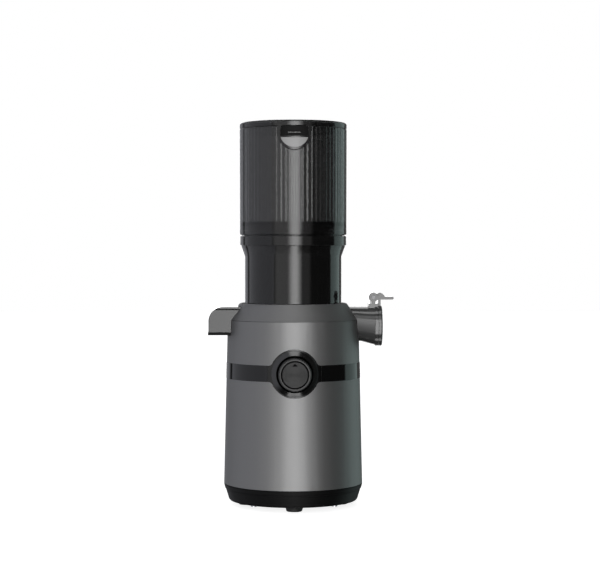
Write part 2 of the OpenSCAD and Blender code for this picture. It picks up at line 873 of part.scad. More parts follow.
module idler_gear() color(white_plastic)
    translate([0, gear_span, z_gear_1]) difference() {
        linear_extrude(height = gear_1_w) spur_outline(module_1, gear_1_teeth, -profile_shift);
        rod(pinion_hub_r, gear_1_w + 2 * cut, -cut);
        // Lightening recess
        translate([0, 0, gear_1_w - 2.5]) difference() {
            cylinder(r = gear_span - 10, h = 4);
            rod(10, 6, -cut);
        }
    }

module idler_pinion() color(steel)
    translate([0, gear_span, z_gear_1 - 0.5]) difference() {
        union() {
            cylinder(r = pinion_hub_r, h = gear_1_w + 1);
            translate([0, 0, gear_1_w + 0.5]) linear_extrude(height = pinion_2_w)
                spur_outline(module_2, pinion_teeth, profile_shift);
        }
        rod(axle_r + run_fit, gear_1_w + pinion_2_w + 4, -cut);
    }

module output_gear() color(steel)
    translate([0, 0, z_gear_2]) difference() {
        linear_extrude(height = gear_2_w) spur_outline(module_2, gear_2_teeth, -profile_shift);
        rod(output_shaft_r, gear_2_w + 2 * cut, -cut);
        around(5, 14, 36) rod(3.6, gear_2_w + 2 * cut, -cut);
    }

module output_shaft() color(steel) {
    rod(output_shaft_r, z_drum - 1 - z_gear_2, z_gear_2);
    rod(bush_r - 1, z_cover - z_gear_2 - gear_2_w - part_gap, z_gear_2 + gear_2_w);
    translate([0, 0, z_drum - 1 - eps])
        cylinder(d = hex_flats / cos(30), h = hex_top - z_drum + 1, $fn = 6);
}

// ---------------------------------------------------------------- motor

module motor_can() color(steel)
    difference() {
        rod(motor_r, motor_len, z_can);
        rod(motor_r - can_wall, motor_len - bearing_h - can_top_t + cut, z_can - cut);
        difference() {
            rod(motor_r - can_wall, motor_len - can_top_t, z_can);
            rod(bearing_r + boss_wall, motor_len, z_can - cut);
            motor_screw_places() rod(4, motor_len, z_can);
        }
        rod(bearing_r, bearing_h + cut, z_case - can_top_t - bearing_h - cut);
        rod(pinion_hole_r, can_top_t + 2 * cut, z_case - can_top_t - cut);
        motor_screw_places() rod(screw_r, 8, z_case - 7);
        // Air windows near the top
        for (a = [45:90:315]) rotate(a) translate([motor_r - 5, -6, z_case - 15]) cube([8, 12, 6]);
    }

module motor_magnets() color("#4a4a50")
    translate([0, 0, z_rotor - 2]) difference() {
        cylinder(r = motor_r - can_wall, h = magnet_h);
        rod(rotor_r + air_gap, magnet_h + 2 * cut, -cut);
        translate([-8, -motor_r, -cut]) cube([16, 2 * motor_r, magnet_h + 2 * cut]);
    }

module motor_end_cap() color("#2a2a2a")
    difference() {
        union() {
            rod(motor_r, end_cap_h, z_end_cap);
            tube(motor_r - can_wall - 0.05, motor_r - can_wall - 2.5, 4, z_can);
        }
        difference() {
            rod(motor_r - 4.3, end_cap_h, z_end_cap + 3);
            rod(bearing_r + boss_wall, bearing_h, z_end_cap);
            for (side = [-1, 1])
                translate([side * brush_x - brush_len / 2, -6, z_end_cap])
                    cube([brush_len, 12, end_cap_h]);
        }
        rod(bearing_r, bearing_h + cut + eps, z_end_cap - cut);
        brush_places() translate([-brush_x, -brush_slot / 2 - run_fit, -brush_slot / 2 - run_fit])
            cube([2 * brush_x, brush_slot + 2 * run_fit, brush_slot + 2 * run_fit]);
        // Air slots
        around(6, 20, 30) translate([-4, -2, z_end_cap - cut]) cube([8, 4, 6]);
    }

module brush_places()
    for (a = [0, 180]) rotate(a) translate([brush_x, 0, z_commutator + brush_slot / 2 + 0.5]) children();

module carbon_brushes() color("#303036")
    brush_places() translate([commutator_r + part_gap - brush_x, -brush_slot / 2, -brush_slot / 2])
        cube([brush_len, brush_slot, brush_slot]);

module motor_bearings() color(steel)
    for (z = [z_end_cap, z_case - can_top_t - bearing_h])
        tube(bearing_r - run_fit, motor_shaft_r + run_fit, bearing_h, z);

module motor_shaft() color(steel)
    rod(motor_shaft_r, shaft_top - z_fan, z_fan);

module rotor_core() color("#8a8a90")
    translate([0, 0, z_rotor]) difference() {
        cylinder(r = rotor_r, h = rotor_h);
        rod(motor_shaft_r, rotor_h + 2 * cut, -cut);
        around(12, rotor_r, 15) {
            translate([-2, -0.8, -cut]) cube([4, 1.6, rotor_h + 2 * cut]);
            translate([-6, 0, -cut]) cylinder(r = 2.6, h = rotor_h + 2 * cut);
        }
    }

module rotor_winding() color(copper) {
    around(12, rotor_r - 6, 15) rod(2.3, rotor_h + 6, z_rotor - 3);
    for (z = [z_rotor - 5, z_rotor + rotor_h]) tube(rotor_r - 3.2, 10, 5, z);
}

module commutator() color(copper)
    translate([0, 0, z_commutator]) difference() {
        cylinder(r = commutator_r, h = commutator_h);
        rod(motor_shaft_r, 12, -cut);
        around(12, commutator_r, 0) translate([-1.2, -0.3, -cut]) cube([3, 0.6, 12]);
    }

module cooling_fan() color("#2d2d2d")
    translate([0, 0, z_fan]) difference() {
        union() {
            rotate_extrude() polygon([
                [0, 0], [fan_r, 0], [fan_r, fan_disc_t], [fan_hub_r, fan_disc_t], [fan_hub_r, fan_h],
                [0, fan_h]]);
            around(fan_blades, fan_hub_r - 2) translate([0, -fan_blade_t / 2, fan_disc_t / 2])
                cube([fan_r - fan_hub_r + 1, fan_blade_t, fan_h - fan_disc_t]);
        }
        rod(motor_shaft_r, fan_h + 2 * cut, -cut);
    }

// ---------------------------------------------------------------- drum

// Cone of the juice spout: its top runs level and its underside slopes down to the end
module spout_cone(grow) {
    shift = grow / sin(spout_half_angle);
    near = drum_r - 16 - spout_apex_x;
    far = spout_x + 20 - spout_apex_x;
    slope = tan(spout_half_angle);
    translate([spout_apex_x, 0, z_outlet_top]) rotate([0, 90 + spout_half_angle, 0])
        translate([0, 0, near])
        cylinder(r1 = (near + shift) * slope, r2 = (far + shift) * slope, h = far - near);
}

// Block of the chute with its rounded outer corner, shrunk by inset
module chute_block(inset, z_low) {
    corner = chute_corner_r - inset;
    width = 2 * (chute_half_w - inset);
    depth = chute_x - inset - drum_r + 8;
    height = z_outlet_top - inset - z_low;
    translate([-chute_x + inset, width / 2, z_low]) rotate([90, 0, 0]) linear_extrude(height = width) {
        square([depth, height - corner]);
        translate([corner, 0]) square([depth - corner, height]);
        translate([corner, height - corner]) circle(r = corner);
    }
}

module drum_shell()
    rotate_extrude() polygon([
        [hub_bore_r, z_drum], [drum_r - 1.5, z_drum], [drum_r, z_drum + 1.5], [drum_r, z_flare],
        [collar_r - 1, z_collar], [collar_r, z_collar], [collar_r, z_collar_top - 0.5],
        [collar_r - 0.5, z_collar_top], [collar_bore_r, z_collar_top], [collar_bore_r, z_step],
        [skirt_r - 1.7, z_step], [skirt_r - 1.7, z_step - 2], [drum_r - drum_wall, z_flare - 1],
        [drum_r - drum_wall, z_floor], [hub_r, z_floor], [hub_r, z_floor + hub_h - 3],
        [hub_bore_r, z_floor + hub_h - 3]]);

module drum() color(gloss_black)
    difference() {
        union() {
            drum_shell();
            tube(foot_ring_r, foot_ring_r - foot_ring_w, drum_foot_h - part_gap + eps,
                z_deck_top + part_gap);
            translate([0, -magnet_y, z_deck_top + 1])
                cylinder(r = magnet_r + 2, h = z_drum - z_deck_top - 1 + eps);
            // Locating key for the strainer
            translate([drum_r - drum_wall - 6.2, -2, z_floor]) cube([7, 4, z_rim + 14 - z_floor]);
            pulp_duct();
        }
        translate([0, -magnet_y, z_deck_top]) cylinder(r = magnet_r + run_fit, h = drum_foot_h - 1);
        // Windows to the chute and the spout
        translate([-drum_r - 4, -duct_half_w, z_chute + chute_floor_t])
            cube([8, 2 * duct_half_w, duct_top - duct_wall - z_chute - chute_floor_t]);
        intersection() {
            spout_cone(-spout_wall);
            translate([drum_r - 6, -drum_r, z_floor]) cube([20, 2 * drum_r, 60]);
        }
        // Slots for the hopper's lugs
        around(3, collar_bore_r, 30) translate([-3, -lug_w / 2 - 0.5, z_lug - 0.4])
            cube([3 + lug_reach, lug_w + 1, z_collar_top - z_lug + 0.4 + cut]);
    }

// Walls that lead the pulp from the strainer's window to the chute
module pulp_duct()
    difference() {
        intersection() {
            translate([-drum_r, -duct_half_w - duct_wall, z_floor - eps])
                cube([drum_r, 2 * (duct_half_w + duct_wall), duct_top - z_floor]);
            tube(drum_r - drum_wall / 2, strainer_r + 0.6, duct_top, z_floor - cut);
        }
        translate([-drum_r - 2, -duct_half_w, z_floor + duct_wall])
            cube([drum_r, 2 * duct_half_w, duct_top - z_floor - 2 * duct_wall]);
    }

module hub_seal() color(rubber_black)
    tube(hub_r + 3, hub_r + run_fit, 1.5, z_floor);

module interlock_magnet() color("#707078")
    translate([0, -magnet_y, z_deck_top + 1]) cylinder(r = magnet_r, h = 4);

module shoulder_ring() color(metal_grey)
    difference() {
        rotate_extrude() polygon([
            [body_top_r, z_crease + part_gap], [shoulder_lip_r + 3.9, z_rim - 3],
            [shoulder_lip_r + 2.8, z_rim - 1.3],
            [shoulder_lip_r + 1.4, z_rim - 0.2], [shoulder_lip_r + 0.8, z_rim],
            [shoulder_lip_r, z_rim - 0.8],
            [shoulder_lip_r, z_rim - 5], [drum_r + run_fit, z_rim - 5], [drum_r + run_fit, z_rim - 7.6],
            [shoulder_lip_r + 4, z_rim - 7.6], [body_top_r - 5.5, z_crease + 3.2],
            [body_top_r - 5.5, z_crease - 6], [body_top_r - body_wall - 0.5, z_crease - 6],
            [body_top_r - body_wall - 0.5, z_crease + part_gap]]);
        spout_cone(part_gap);
        shoulder_spout_slot();
        translate([-chute_x, -chute_half_w - part_gap, z_chute])
            cube([chute_x - drum_r + 12, 2 * (chute_half_w + part_gap), chute_h + part_gap]);
    }

// Clears the shoulder's locating skirt under the spout's widest level
module shoulder_spout_slot() {
    half_w = spout_half_w(body_top_r) + part_gap;
    translate([drum_r + 4, -half_w, z_crease - 8]) cube([spout_x - drum_r, 2 * half_w, 8]);
}

module juice_spout() color(smoke_grey)
    difference() {
        union() {
            intersection() {
                spout_cone(0);
                translate([drum_r - 4, -drum_r, z_drum - 20])
                    cube([spout_x - drum_r + 4, 2 * drum_r, 90]);
            }
            translate([0, 0, spout_z]) facing_right(spout_x - 0.6)
                cylinder(r = cap_r, h = flange_t + 0.6);
            // Pad and ears for the cap's hinge
            translate([hinge_x - knuckle_r + 0.4, -ear_y - ear_t + 0.2, z_pad_foot])
                cube([2 * knuckle_r - 0.8, 2 * (ear_y + ear_t) - 0.4, z_pad - z_pad_foot]);
            for (y = [-ear_y - ear_t, ear_y]) hinge_ear(y);
        }
        intersection() {
            spout_cone(-spout_wall);
            translate([0, -drum_r, z_drum - 20]) cube([spout_x, 2 * drum_r, 90]);
        }
        translate([0, 0, spout_z]) facing_right(spout_x - cut)
            cylinder(r = bore_end_r, h = flange_t + 2 * cut);
        rod(drum_r + run_fit, 90, z_drum - 20);
        translate([hinge_x, -ear_y - ear_t - cut, hinge_z]) rotate([-90, 0, 0])
            cylinder(r = cap_pin_r, h = 2 * (ear_y + ear_t) + 2 * cut);
    }

module hinge_ear(y)
    translate([hinge_x, y + ear_t, hinge_z]) rotate([90, 0, 0]) linear_extrude(height = ear_t) {
        circle(r = knuckle_r);
        translate([-ear_neck_w / 2, z_pad - hinge_z]) square([ear_neck_w, hinge_z - z_pad]);
        translate([-knuckle_r, z_pad_foot - hinge_z]) square([2 * knuckle_r, z_pad - z_pad_foot]);
    }

module cap_hinge_pin() color(steel)
    translate([hinge_x, -ear_y - ear_t, hinge_z]) rotate([-90, 0, 0])
        cylinder(r = cap_pin_r, h = 2 * (ear_y + ear_t));

module pulp_chute() color(smoke_grey)
    difference() {
        union() {
            chute_block(0, z_chute);
            // Thick rim round the mouth
            translate([-chute_x - 0.6, -chute_half_w - 0.6, z_chute])
                cube([chute_x + 0.6 - body_bottom_r + 0.6, 2 * (chute_half_w + 0.6), chute_floor_t]);
        }
        chute_block(chute_wall, z_chute + chute_floor_t);
        translate([-chute_x + chute_wall, -chute_half_w + chute_wall, z_chute - cut])
            cube([chute_x - chute_wall - body_bottom_r - 1.5, 2 * (chute_half_w - chute_wall),
                chute_floor_t + 2 * cut]);
        rod(drum_r + run_fit, chute_h + 2 * cut, z_chute - cut);
    }

// ---------------------------------------------------------------- strainer and auger

module pulp_window() {
    inner = duct_half_w - 0.6;
    translate([-strainer_r - 4, -inner, z_floor + 5])
        cube([20, 2 * inner, duct_top - duct_wall - z_floor - 5]);
}

module strainer_frame() color("#3a3a3a")
    difference() {
        union() {
            tube(drum_r - drum_wall - 0.4, strainer_r - strainer_rib, 3, z_strainer_top - 3);
            for (z = [z_strainer, z_strainer + 30, z_strainer + 62])
                tube(strainer_r, strainer_r - strainer_rib, 4.5, z);
            around(12, strainer_r - strainer_rib / 2, 15)
                translate([-strainer_rib / 2 + 0.2, -1.3, z_strainer])
                cube([strainer_rib - 0.4, 2.6, z_strainer_top - z_strainer]);
        }
        pulp_window();
        // Keyway for the drum's key
        translate([drum_r - drum_wall - 7, -2.5, z_strainer_top - 4]) cube([8, 5, 6]);
    }

module strainer_screen() color(steel)
    difference() {
        tube(screen_r, screen_inner_r, z_strainer_top - z_strainer, z_strainer);
        pulp_window();
        for (i = [0:slot_count - 1]) rotate((i + 0.5) * 360 / slot_count)
            translate([screen_inner_r - cut, -slot_w / 2, z_slots])
                cube([4, slot_w, z_strainer_top - 11.7 - z_slots]);
    }

module auger() color("#2c2c2c")
    difference() {
        union() {
            rotate_extrude() polygon([
                [0, z_auger], [core_low_r + 3, z_auger], [core_low_r + 3, z_auger_core],
                [core_low_r, z_auger_core], [core_top_r, z_auger_nose - auger_tip_h],
                [pin_r + 3, z_auger_nose], [pin_r, z_auger_nose], [pin_r, z_auger_nose + auger_pin_h],
                [0, z_auger_nose + auger_pin_h]]);
            translate([0, 0, z_auger_core - cut]) auger_flight(z_auger_nose - z_auger_core - 3);
        }
        rod(hub_r + 1.5, hub_h - 1 + cut, z_auger - cut);
        rod(socket_r + run_fit / 2, socket_h + cut, z_socket - cut);
    }

// Two wide helical flights
module auger_flight(h)
    linear_extrude(height = h, twist = -360 * auger_turns, slices = 54, $fn = 24)
        polygon([for (i = [0:23]) flight_r(i * 15) * unit_at(i * 15)]);

function flight_r(a) = core_top_r - 2 + (auger_r - core_top_r + 2) * pow(max(0, cos(2 * a)), 6);

module auger_socket() color(steel)
    difference() {
        rod(socket_r, socket_h, z_socket);
        translate([0, 0, z_socket - cut])
            cylinder(d = (hex_flats + 2 * hex_gap) / cos(30), h = socket_h - 2 + cut, $fn = 6);
    }

// ---------------------------------------------------------------- spout cap

module spout_cap() color(smoke_grey)
    difference() {
        union() {
            translate([0, 0, spout_z]) facing_right(x_cap) rotate_extrude() polygon([
                [0, 0], [cap_r, 0], [cap_r, cap_t - 1.6], [cap_r - 1, cap_t - 0.5], [cap_r - 3, cap_t],
                [0, cap_t]]);
            // Boss that carries the seal
            translate([0, 0, spout_z]) facing_right(x_cap - cap_seal_w)
                cylinder(r = bore_end_r - 4, h = cap_seal_w + eps);
            // Stem up to the hinge
            translate([x_cap, -knuckle_half_w, spout_z + cap_r - 3])
                cube([3.2, 2 * knuckle_half_w, hinge_z + 2 - spout_z - cap_r + 3]);
            translate([hinge_x, -knuckle_half_w, hinge_z - 3.5])
                cube([x_cap - hinge_x + 1, 2 * knuckle_half_w, 8]);
            translate([hinge_x, -knuckle_half_w, hinge_z]) rotate([-90, 0, 0])
                cylinder(r = knuckle_r, h = 2 * knuckle_half_w);
            cap_lever();
        }
        translate([hinge_x, -knuckle_half_w - cut, hinge_z]) rotate([-90, 0, 0])
            cylinder(r = cap_pin_r + run_fit, h = 2 * (knuckle_half_w + cut));
    }

// Thumb lever with a domed root and a flat tip
module cap_lever() {
    z_lever = hinge_z - 3;
    tip_r = lever_t / 2;
    translate([0, knuckle_half_w, 0]) rotate([90, 0, 0]) linear_extrude(height = 2 * knuckle_half_w) {
        intersection() {
            translate([x_cap + 0.5, z_lever]) circle(r = lever_root_r);
            translate([x_cap, z_lever]) square(lever_root_r + 0.5);
        }
        translate([x_cap, z_lever]) square([lever_x - tip_r - x_cap, lever_t]);
        translate([lever_x - tip_r, z_lever + tip_r]) circle(r = tip_r);
    }
}

module cap_seal() color(rubber_black)
    translate([0, 0, spout_z]) facing_right(x_cap - cap_seal_w) rotate_extrude() polygon([
        [bore_end_r - 4, 0], [bore_end_r - 1.8, 0], [bore_end_r - part_gap, cap_seal_w],
        [bore_end_r - 4, cap_seal_w]]);

// ---------------------------------------------------------------- hopper and lid

module hopper() color(gloss_black) {
    lower_r = hopper_r - 0.3;
    z_flutes = z_hopper + hopper_floor_h;
    throat_z = z_strainer_top + 0.5;
    difference() {
        union() {
            rotate_extrude() polygon([
                [skirt_r - skirt_wall, z_skirt], [skirt_r, z_skirt], [skirt_r, z_collar_top + part_gap],
                [seat_r, z_collar_top + part_gap], [seat_r, z_hopper], [lower_r, z_hopper],
                [lower_r, z_flutes + eps], [hopper_bore_r - 1, z_flutes + eps],
                [throat_r, z_flutes - funnel_drop],
                [throat_r, throat_z], [throat_r + throat_wall, throat_z],
                [throat_r + throat_wall, z_flutes - funnel_drop - 2.6],
                [skirt_r - skirt_wall, z_flutes - 5.5]]);
            difference() {
                translate([0, 0, z_flutes])
                    cylinder(r1 = lower_r, r2 = hopper_r, h = z_hopper_top - z_flutes);
                translate([0, 0, z_flutes - cut]) linear_extrude(height = hopper_h) fluted_bore();
            }
            around(3, skirt_r - 1, 30) translate([0, -lug_w / 2, z_lug])
                cube([1 + lug_reach, lug_w, lug_h]);
            // Bar and hub that hold the auger's pin
            translate([-throat_r - 1, -4.5, z_strainer_top + 13]) cube([2 * throat_r + 2, 9, 6]);
            rod(hub_bush_r, 18, z_auger_nose + 3);
            hopper_knuckle();
        }
        rod(pin_r + part_gap, 15, z_auger_nose + 2);
        // Groove for the gasket
        translate([0, 0, z_gasket]) difference() {
            cylinder(r = skirt_r + 1, h = gasket_h);
            rod(skirt_r - 1.2, gasket_h + 2 * cut, -cut);
        }
        translate([-centre_knuckle_w, lid_hinge_y, lid_hinge_z]) rotate([0, 90, 0])
            cylinder(r = lid_pin_r, h = 2 * centre_knuckle_w);
    }
}

module fluted_bore()
    polygon([for (i = [0:4 * flute_count - 1])
        (hopper_bore_r + flute_depth / 2 * cos(90 * i)) * unit_at(90 * i / flute_count)]);

module hopper_knuckle() {
    half_w = centre_knuckle_w / 2;
    translate([-half_w, lid_hinge_y, lid_hinge_z]) rotate([0, 90, 0])
        cylinder(r = lid_knuckle_r, h = centre_knuckle_w);
    translate([-half_w, hopper_r - 1.5, lid_hinge_z - 12])
        cube([centre_knuckle_w, lid_hinge_y - hopper_r + 1.5, 12]);
    translate([-half_w, lid_hinge_y - 1, lid_hinge_z - 12])
        cube([centre_knuckle_w, 1 + lid_knuckle_r, 12]);
}

module hopper_gasket() color("#4a4a4a")
    tube(collar_bore_r - 0.2, skirt_r - 1.2 + run_fit, gasket_h - 0.2, z_gasket + 0.1);

module lid_hinge_pin() color(steel)
    translate([-centre_knuckle_w / 2 - side_knuckle_w - 0.5, lid_hinge_y, lid_hinge_z]) rotate([0, 90, 0])
        cylinder(r = lid_pin_r, h = centre_knuckle_w + 2 * side_knuckle_w + 1);

module lid() color(gloss_black)
    difference() {
        union() {
            rotate_extrude() polygon([
                [0, z_lid_top - 2.8], [lid_plug_r - 2.6, z_lid_top - 2.8], [lid_plug_r - 2.6, z_lid - 4],
                [lid_plug_r, z_lid - 4], [lid_plug_r, z_lid], [hopper_r, z_lid],
                [hopper_r, z_lid_top - 2],
                [hopper_r - 0.6, z_lid_top - 0.6], [hopper_r - 2, z_lid_top], [0, z_lid_top]]);
            finger_tab();
            for (side = [-1, 1]) lid_knuckle(side);
        }
        translate([-hopper_r, lid_hinge_y, lid_hinge_z]) rotate([0, 90, 0])
            cylinder(r = lid_pin_r + run_fit, h = 2 * hopper_r);
        // Cut clear of the hopper's centre knuckle
        translate([-centre_knuckle_w / 2 - 0.5, hopper_r - 0.2, z_lid - 8])
            cube([centre_knuckle_w + 1, 20, 20]);
    }

// Half-moon tab that hangs over the front of the hopper
module finger_tab()
    difference() {
        intersection() {
            union() {
                tube(tab_r_in + tab_t, tab_r_in, z_lid + 2 - tab_z + tab_r, tab_z - tab_r);
                tube(tab_r_in + tab_t, hopper_r - 1, 5, z_lid);
            }
            translate([0, -hopper_r / 2, 0]) rotate([90, 0, 0]) linear_extrude(height = hopper_r) {
                translate([0, tab_z]) circle(r = tab_r);
                translate([-tab_r, tab_z]) square([2 * tab_r, z_lid + 5 - tab_z]);
            }
        }
        // Shallow half-disc recess in the face of the tab
        intersection() {
            tube(tab_r_in + tab_t + 1, tab_r_in + tab_t - 0.8, tab_r + 4, tab_z - tab_r);
            translate([0, -hopper_r / 2, 0]) rotate([90, 0, 0]) linear_extrude(height = hopper_r)
                difference() {
                    translate([0, tab_z]) circle(r = tab_r - tab_rim_w);
                    translate([-tab_r, tab_z - tab_ledge_drop]) square([2 * tab_r, tab_r]);
                }
        }
    }

module lid_knuckle(side) {
    x0 = side > 0 ? centre_knuckle_w / 2 + 0.5 : -centre_knuckle_w / 2 - 0.5 - side_knuckle_w;
    translate([x0, lid_hinge_y, lid_hinge_z]) rotate([0, 90, 0])
        cylinder(r = lid_knuckle_r, h = side_knuckle_w);
    translate([x0, hopper_r - 3, z_lid]) cube([side_knuckle_w, lid_hinge_y - hopper_r + 3, 2.6]);
}

body_housing();
base_ring();
bottom_plate();
feet();
band();
selector_plate();
knob_bezel();
selector_switch();
switch_nut();
motor_can();
motor_magnets();
motor_end_cap();
motor_bearings();
carbon_brushes();
gearbox_case();
gearbox_cover();
idler_axle();
output_bearing();
deck();
shaft_seal();
mount_dampers();
control_board();
board_components();
reed_switch();
cord_gland();
base_screws();
deck_screws();
case_screws();
control_knob();
knob_insert();
switch_spindle();
motor_shaft();
rotor_core();
rotor_winding();
commutator();
cooling_fan();
motor_pinion();
idler_gear();
idler_pinion();
output_gear();
output_shaft();
drum();
shoulder_ring();
juice_spout();
pulp_chute();
strainer_frame();
strainer_screen();
hub_seal();
interlock_magnet();
cap_hinge_pin();
auger();
auger_socket();
spout_cap();
cap_seal();
hopper();
hopper_gasket();
lid_hinge_pin();
lid();
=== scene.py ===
"""Looks of a cold press juicer: a satin metallic body with a glossy band and a selector knob,
a smoked drum with a juice spout and a pulp chute, and a tall smoked hopper under a hinged lid.

The scene is in metres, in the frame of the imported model: +Z up, -Y to the front. Sizes and places
of the pieces are given in millimetres and turned into metres where an operator takes them.
"""

import json
import logging
import math
from dataclasses import dataclass
from enum import Enum
from typing import Callable, Optional

import bmesh
import bpy
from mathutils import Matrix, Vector


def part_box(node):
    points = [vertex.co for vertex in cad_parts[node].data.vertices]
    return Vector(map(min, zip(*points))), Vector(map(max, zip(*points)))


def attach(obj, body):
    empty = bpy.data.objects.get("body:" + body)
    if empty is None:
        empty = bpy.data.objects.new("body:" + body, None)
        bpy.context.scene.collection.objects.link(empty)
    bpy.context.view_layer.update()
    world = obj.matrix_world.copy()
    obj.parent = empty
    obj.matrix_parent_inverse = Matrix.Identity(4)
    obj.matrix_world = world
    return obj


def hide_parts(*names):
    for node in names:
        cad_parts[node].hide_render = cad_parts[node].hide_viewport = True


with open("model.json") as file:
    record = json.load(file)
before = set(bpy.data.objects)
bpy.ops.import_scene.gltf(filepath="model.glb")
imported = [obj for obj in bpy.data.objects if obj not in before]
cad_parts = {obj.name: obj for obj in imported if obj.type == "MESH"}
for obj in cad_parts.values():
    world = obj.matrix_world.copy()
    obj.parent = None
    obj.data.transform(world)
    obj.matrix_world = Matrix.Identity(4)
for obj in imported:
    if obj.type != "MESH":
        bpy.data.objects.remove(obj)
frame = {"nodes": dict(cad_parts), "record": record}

LOG = logging.getLogger("juicer")
MM = 0.001
WHITE = "#ffffff"
KNOB_Z = 162.3
KNUCKLE_R = 3.4
FLUTES = 72
FLUTE_Z = 339.0

Tree = bpy.types.NodeTree
Socket = bpy.types.NodeSocket
Material = bpy.types.Material
Piece = bpy.types.Object
Point = tuple[float, float]
Spot = tuple[float, float, float]
Test = Callable[[Vector], bool]

SHELL_FOOT: Point = (83.05, 27.0)
SHELL_RIM: Point = (78.55, 222.0)
LID_HINGE: Point = (68.4, 449.0)


# ---- colours and nodes

def linear(hex_code: str) -> tuple[float, float, float, float]:
    """Turns an sRGB hex colour into linear RGBA.

    Args:
        hex_code: six hex digits after a number sign.

    Returns:
        Linear red, green, blue and an alpha of one.
    """
    parts = [int(hex_code[i:i + 2], 16) / 255 for i in (1, 3, 5)]
    bent = [c / 12.92 if c <= 0.04045 else ((c + 0.055) / 1.055) ** 2.4 for c in parts]
    return (bent[0], bent[1], bent[2], 1.0)


def add(tree: Tree, kind: str, inputs: Optional[dict] = None, output: str = "",
        **settings) -> Optional[Socket]:
    """Adds one shader node with its settings and links.

    Args:
        tree: the tree that gets the node.
        kind: the node's type name without ShaderNode in front.
        inputs: socket name or number to a value, or to the output socket that feeds it.
        output: the name of the wanted output, or nothing for the first one in use.
        settings: attributes of the node itself.

    Returns:
        The wanted output.
    """
    node = tree.nodes.new("ShaderNode" + kind)
    for name, value in settings.items():
        setattr(node, name, value)
    for socket, value in (inputs or {}).items():
        if isinstance(value, Socket):
            tree.links.new(value, node.inputs[socket])
        else:
            node.inputs[socket].default_value = value
    return node.outputs[output] if output else next((s for s in node.outputs if s.enabled), None)


def new_material(name: str) -> tuple[Material, Tree]:
    """Makes a material with an empty tree.

    Args:
        name: the material's name.

    Returns:
        The material and its tree.
    """
    material = bpy.data.materials.new(name)
    material.use_nodes = True
    material.node_tree.nodes.clear()
    return material, material.node_tree


# ---- finishes

@dataclass(frozen=True)
class Finish:
    """What a piece is made of and how its surface was made."""

    name: str

    def shader(self, tree: Tree, place: Socket) -> Socket:
        """Builds the shader, which each kind of finish does in its own way.

        Args:
            tree: the material's tree.
            place: the object coordinates.

        Returns:
            The shader.
        """
        raise NotImplementedError

    def make(self) -> Material:
        """Builds the material.

        Returns:
            The material.
        """
        material, tree = new_material(self.name)
        place = add(tree, "TexCoord", output="Object")
        add(tree, "OutputMaterial", {"Surface": self.shader(tree, place)})
        return material


@dataclass(frozen=True)
class Moulded(Finish):
    """Injection moulded plastic or rubber: an even colour, a fine spark-eroded grain and a soft gloss.

    The grain is drawn coarser than a real one, so that it shows.
    """

    colour: str
    roughness: float
    grain_mm: float = 0.6
    grain_depth_mm: float = 0.02
    cloud_mm: float = 28.0
    mottle: float = 0.06
    specular: float = 0.5

    def shader(self, tree: Tree, place: Socket) -> Socket:
        """Builds the shader.

        Args:
            tree: the material's tree.
            place: the object coordinates.

        Returns:
            The shader.
        """
        low, high = 1 - self.mottle, 1 + self.mottle
        dark, bright = (tuple(c * f for c in linear(self.colour)[:3]) + (1.0,) for f in (low, high))
        cloud = add(tree, "TexNoise", {"Vector": place, "Scale": 1 / (self.cloud_mm * MM), "Detail": 3.0})
        tone = add(tree, "Mix", {"Factor": cloud, "A": dark, "B": bright}, data_type="RGBA")
        rough = add(tree, "MapRange", {
            "Value": cloud, "From Min": 0.3, "From Max": 0.7,
            "To Min": self.roughness * low, "To Max": self.roughness * high})
        grain = add(tree, "TexNoise", {"Vector": place, "Scale": 1 / (self.grain_mm * MM), "Detail": 2.0})
        bump = add(tree, "Bump", {"Height": grain, "Strength": 0.5, "Distance": self.grain_depth_mm * MM})
        return add(tree, "BsdfPrincipled", {
            "Base Color": tone, "Roughness": rough, "Specular IOR Level": self.specular, "Normal": bump})


@dataclass(frozen=True)
class Spun(Finish):
    """Moulded face with fine rings as from a lathe: it spreads a glint across the rings."""

    colour: str
    roughness: float
    centre_mm: Point
    ring_mm: float = 0.45
    ring_depth_mm: float = 0.03

    def shader(self, tree: Tree, place: Socket) -> Socket:
        """Builds the shader.

        Args:
            tree: the material's tree.
            place: the object coordinates.

        Returns:
            The shader.
        """
        x, _, z = add(tree, "SeparateXYZ", {"Vector": place}).node.outputs
        across, up = (add(tree, "Math", {0: axis, 1: middle * MM}, operation="SUBTRACT")
                      for axis, middle in zip((x, z), self.centre_mm))
        flat = add(tree, "CombineXYZ", {"X": across, "Y": up})
        radius = add(tree, "VectorMath", {0: flat}, operation="LENGTH")
        turns = add(tree, "Math", {0: radius, 1: 2 * math.pi / (self.ring_mm * MM)}, operation="MULTIPLY")
        rings = add(tree, "Math", {0: turns}, operation="SINE")
        bump = add(tree, "Bump", {"Height": rings, "Strength": 0.6, "Distance": self.ring_depth_mm * MM})
        return add(tree, "BsdfPrincipled", {
            "Base Color": linear(self.colour), "Roughness": self.roughness, "Specular IOR Level": 0.3,
            "Normal": bump})


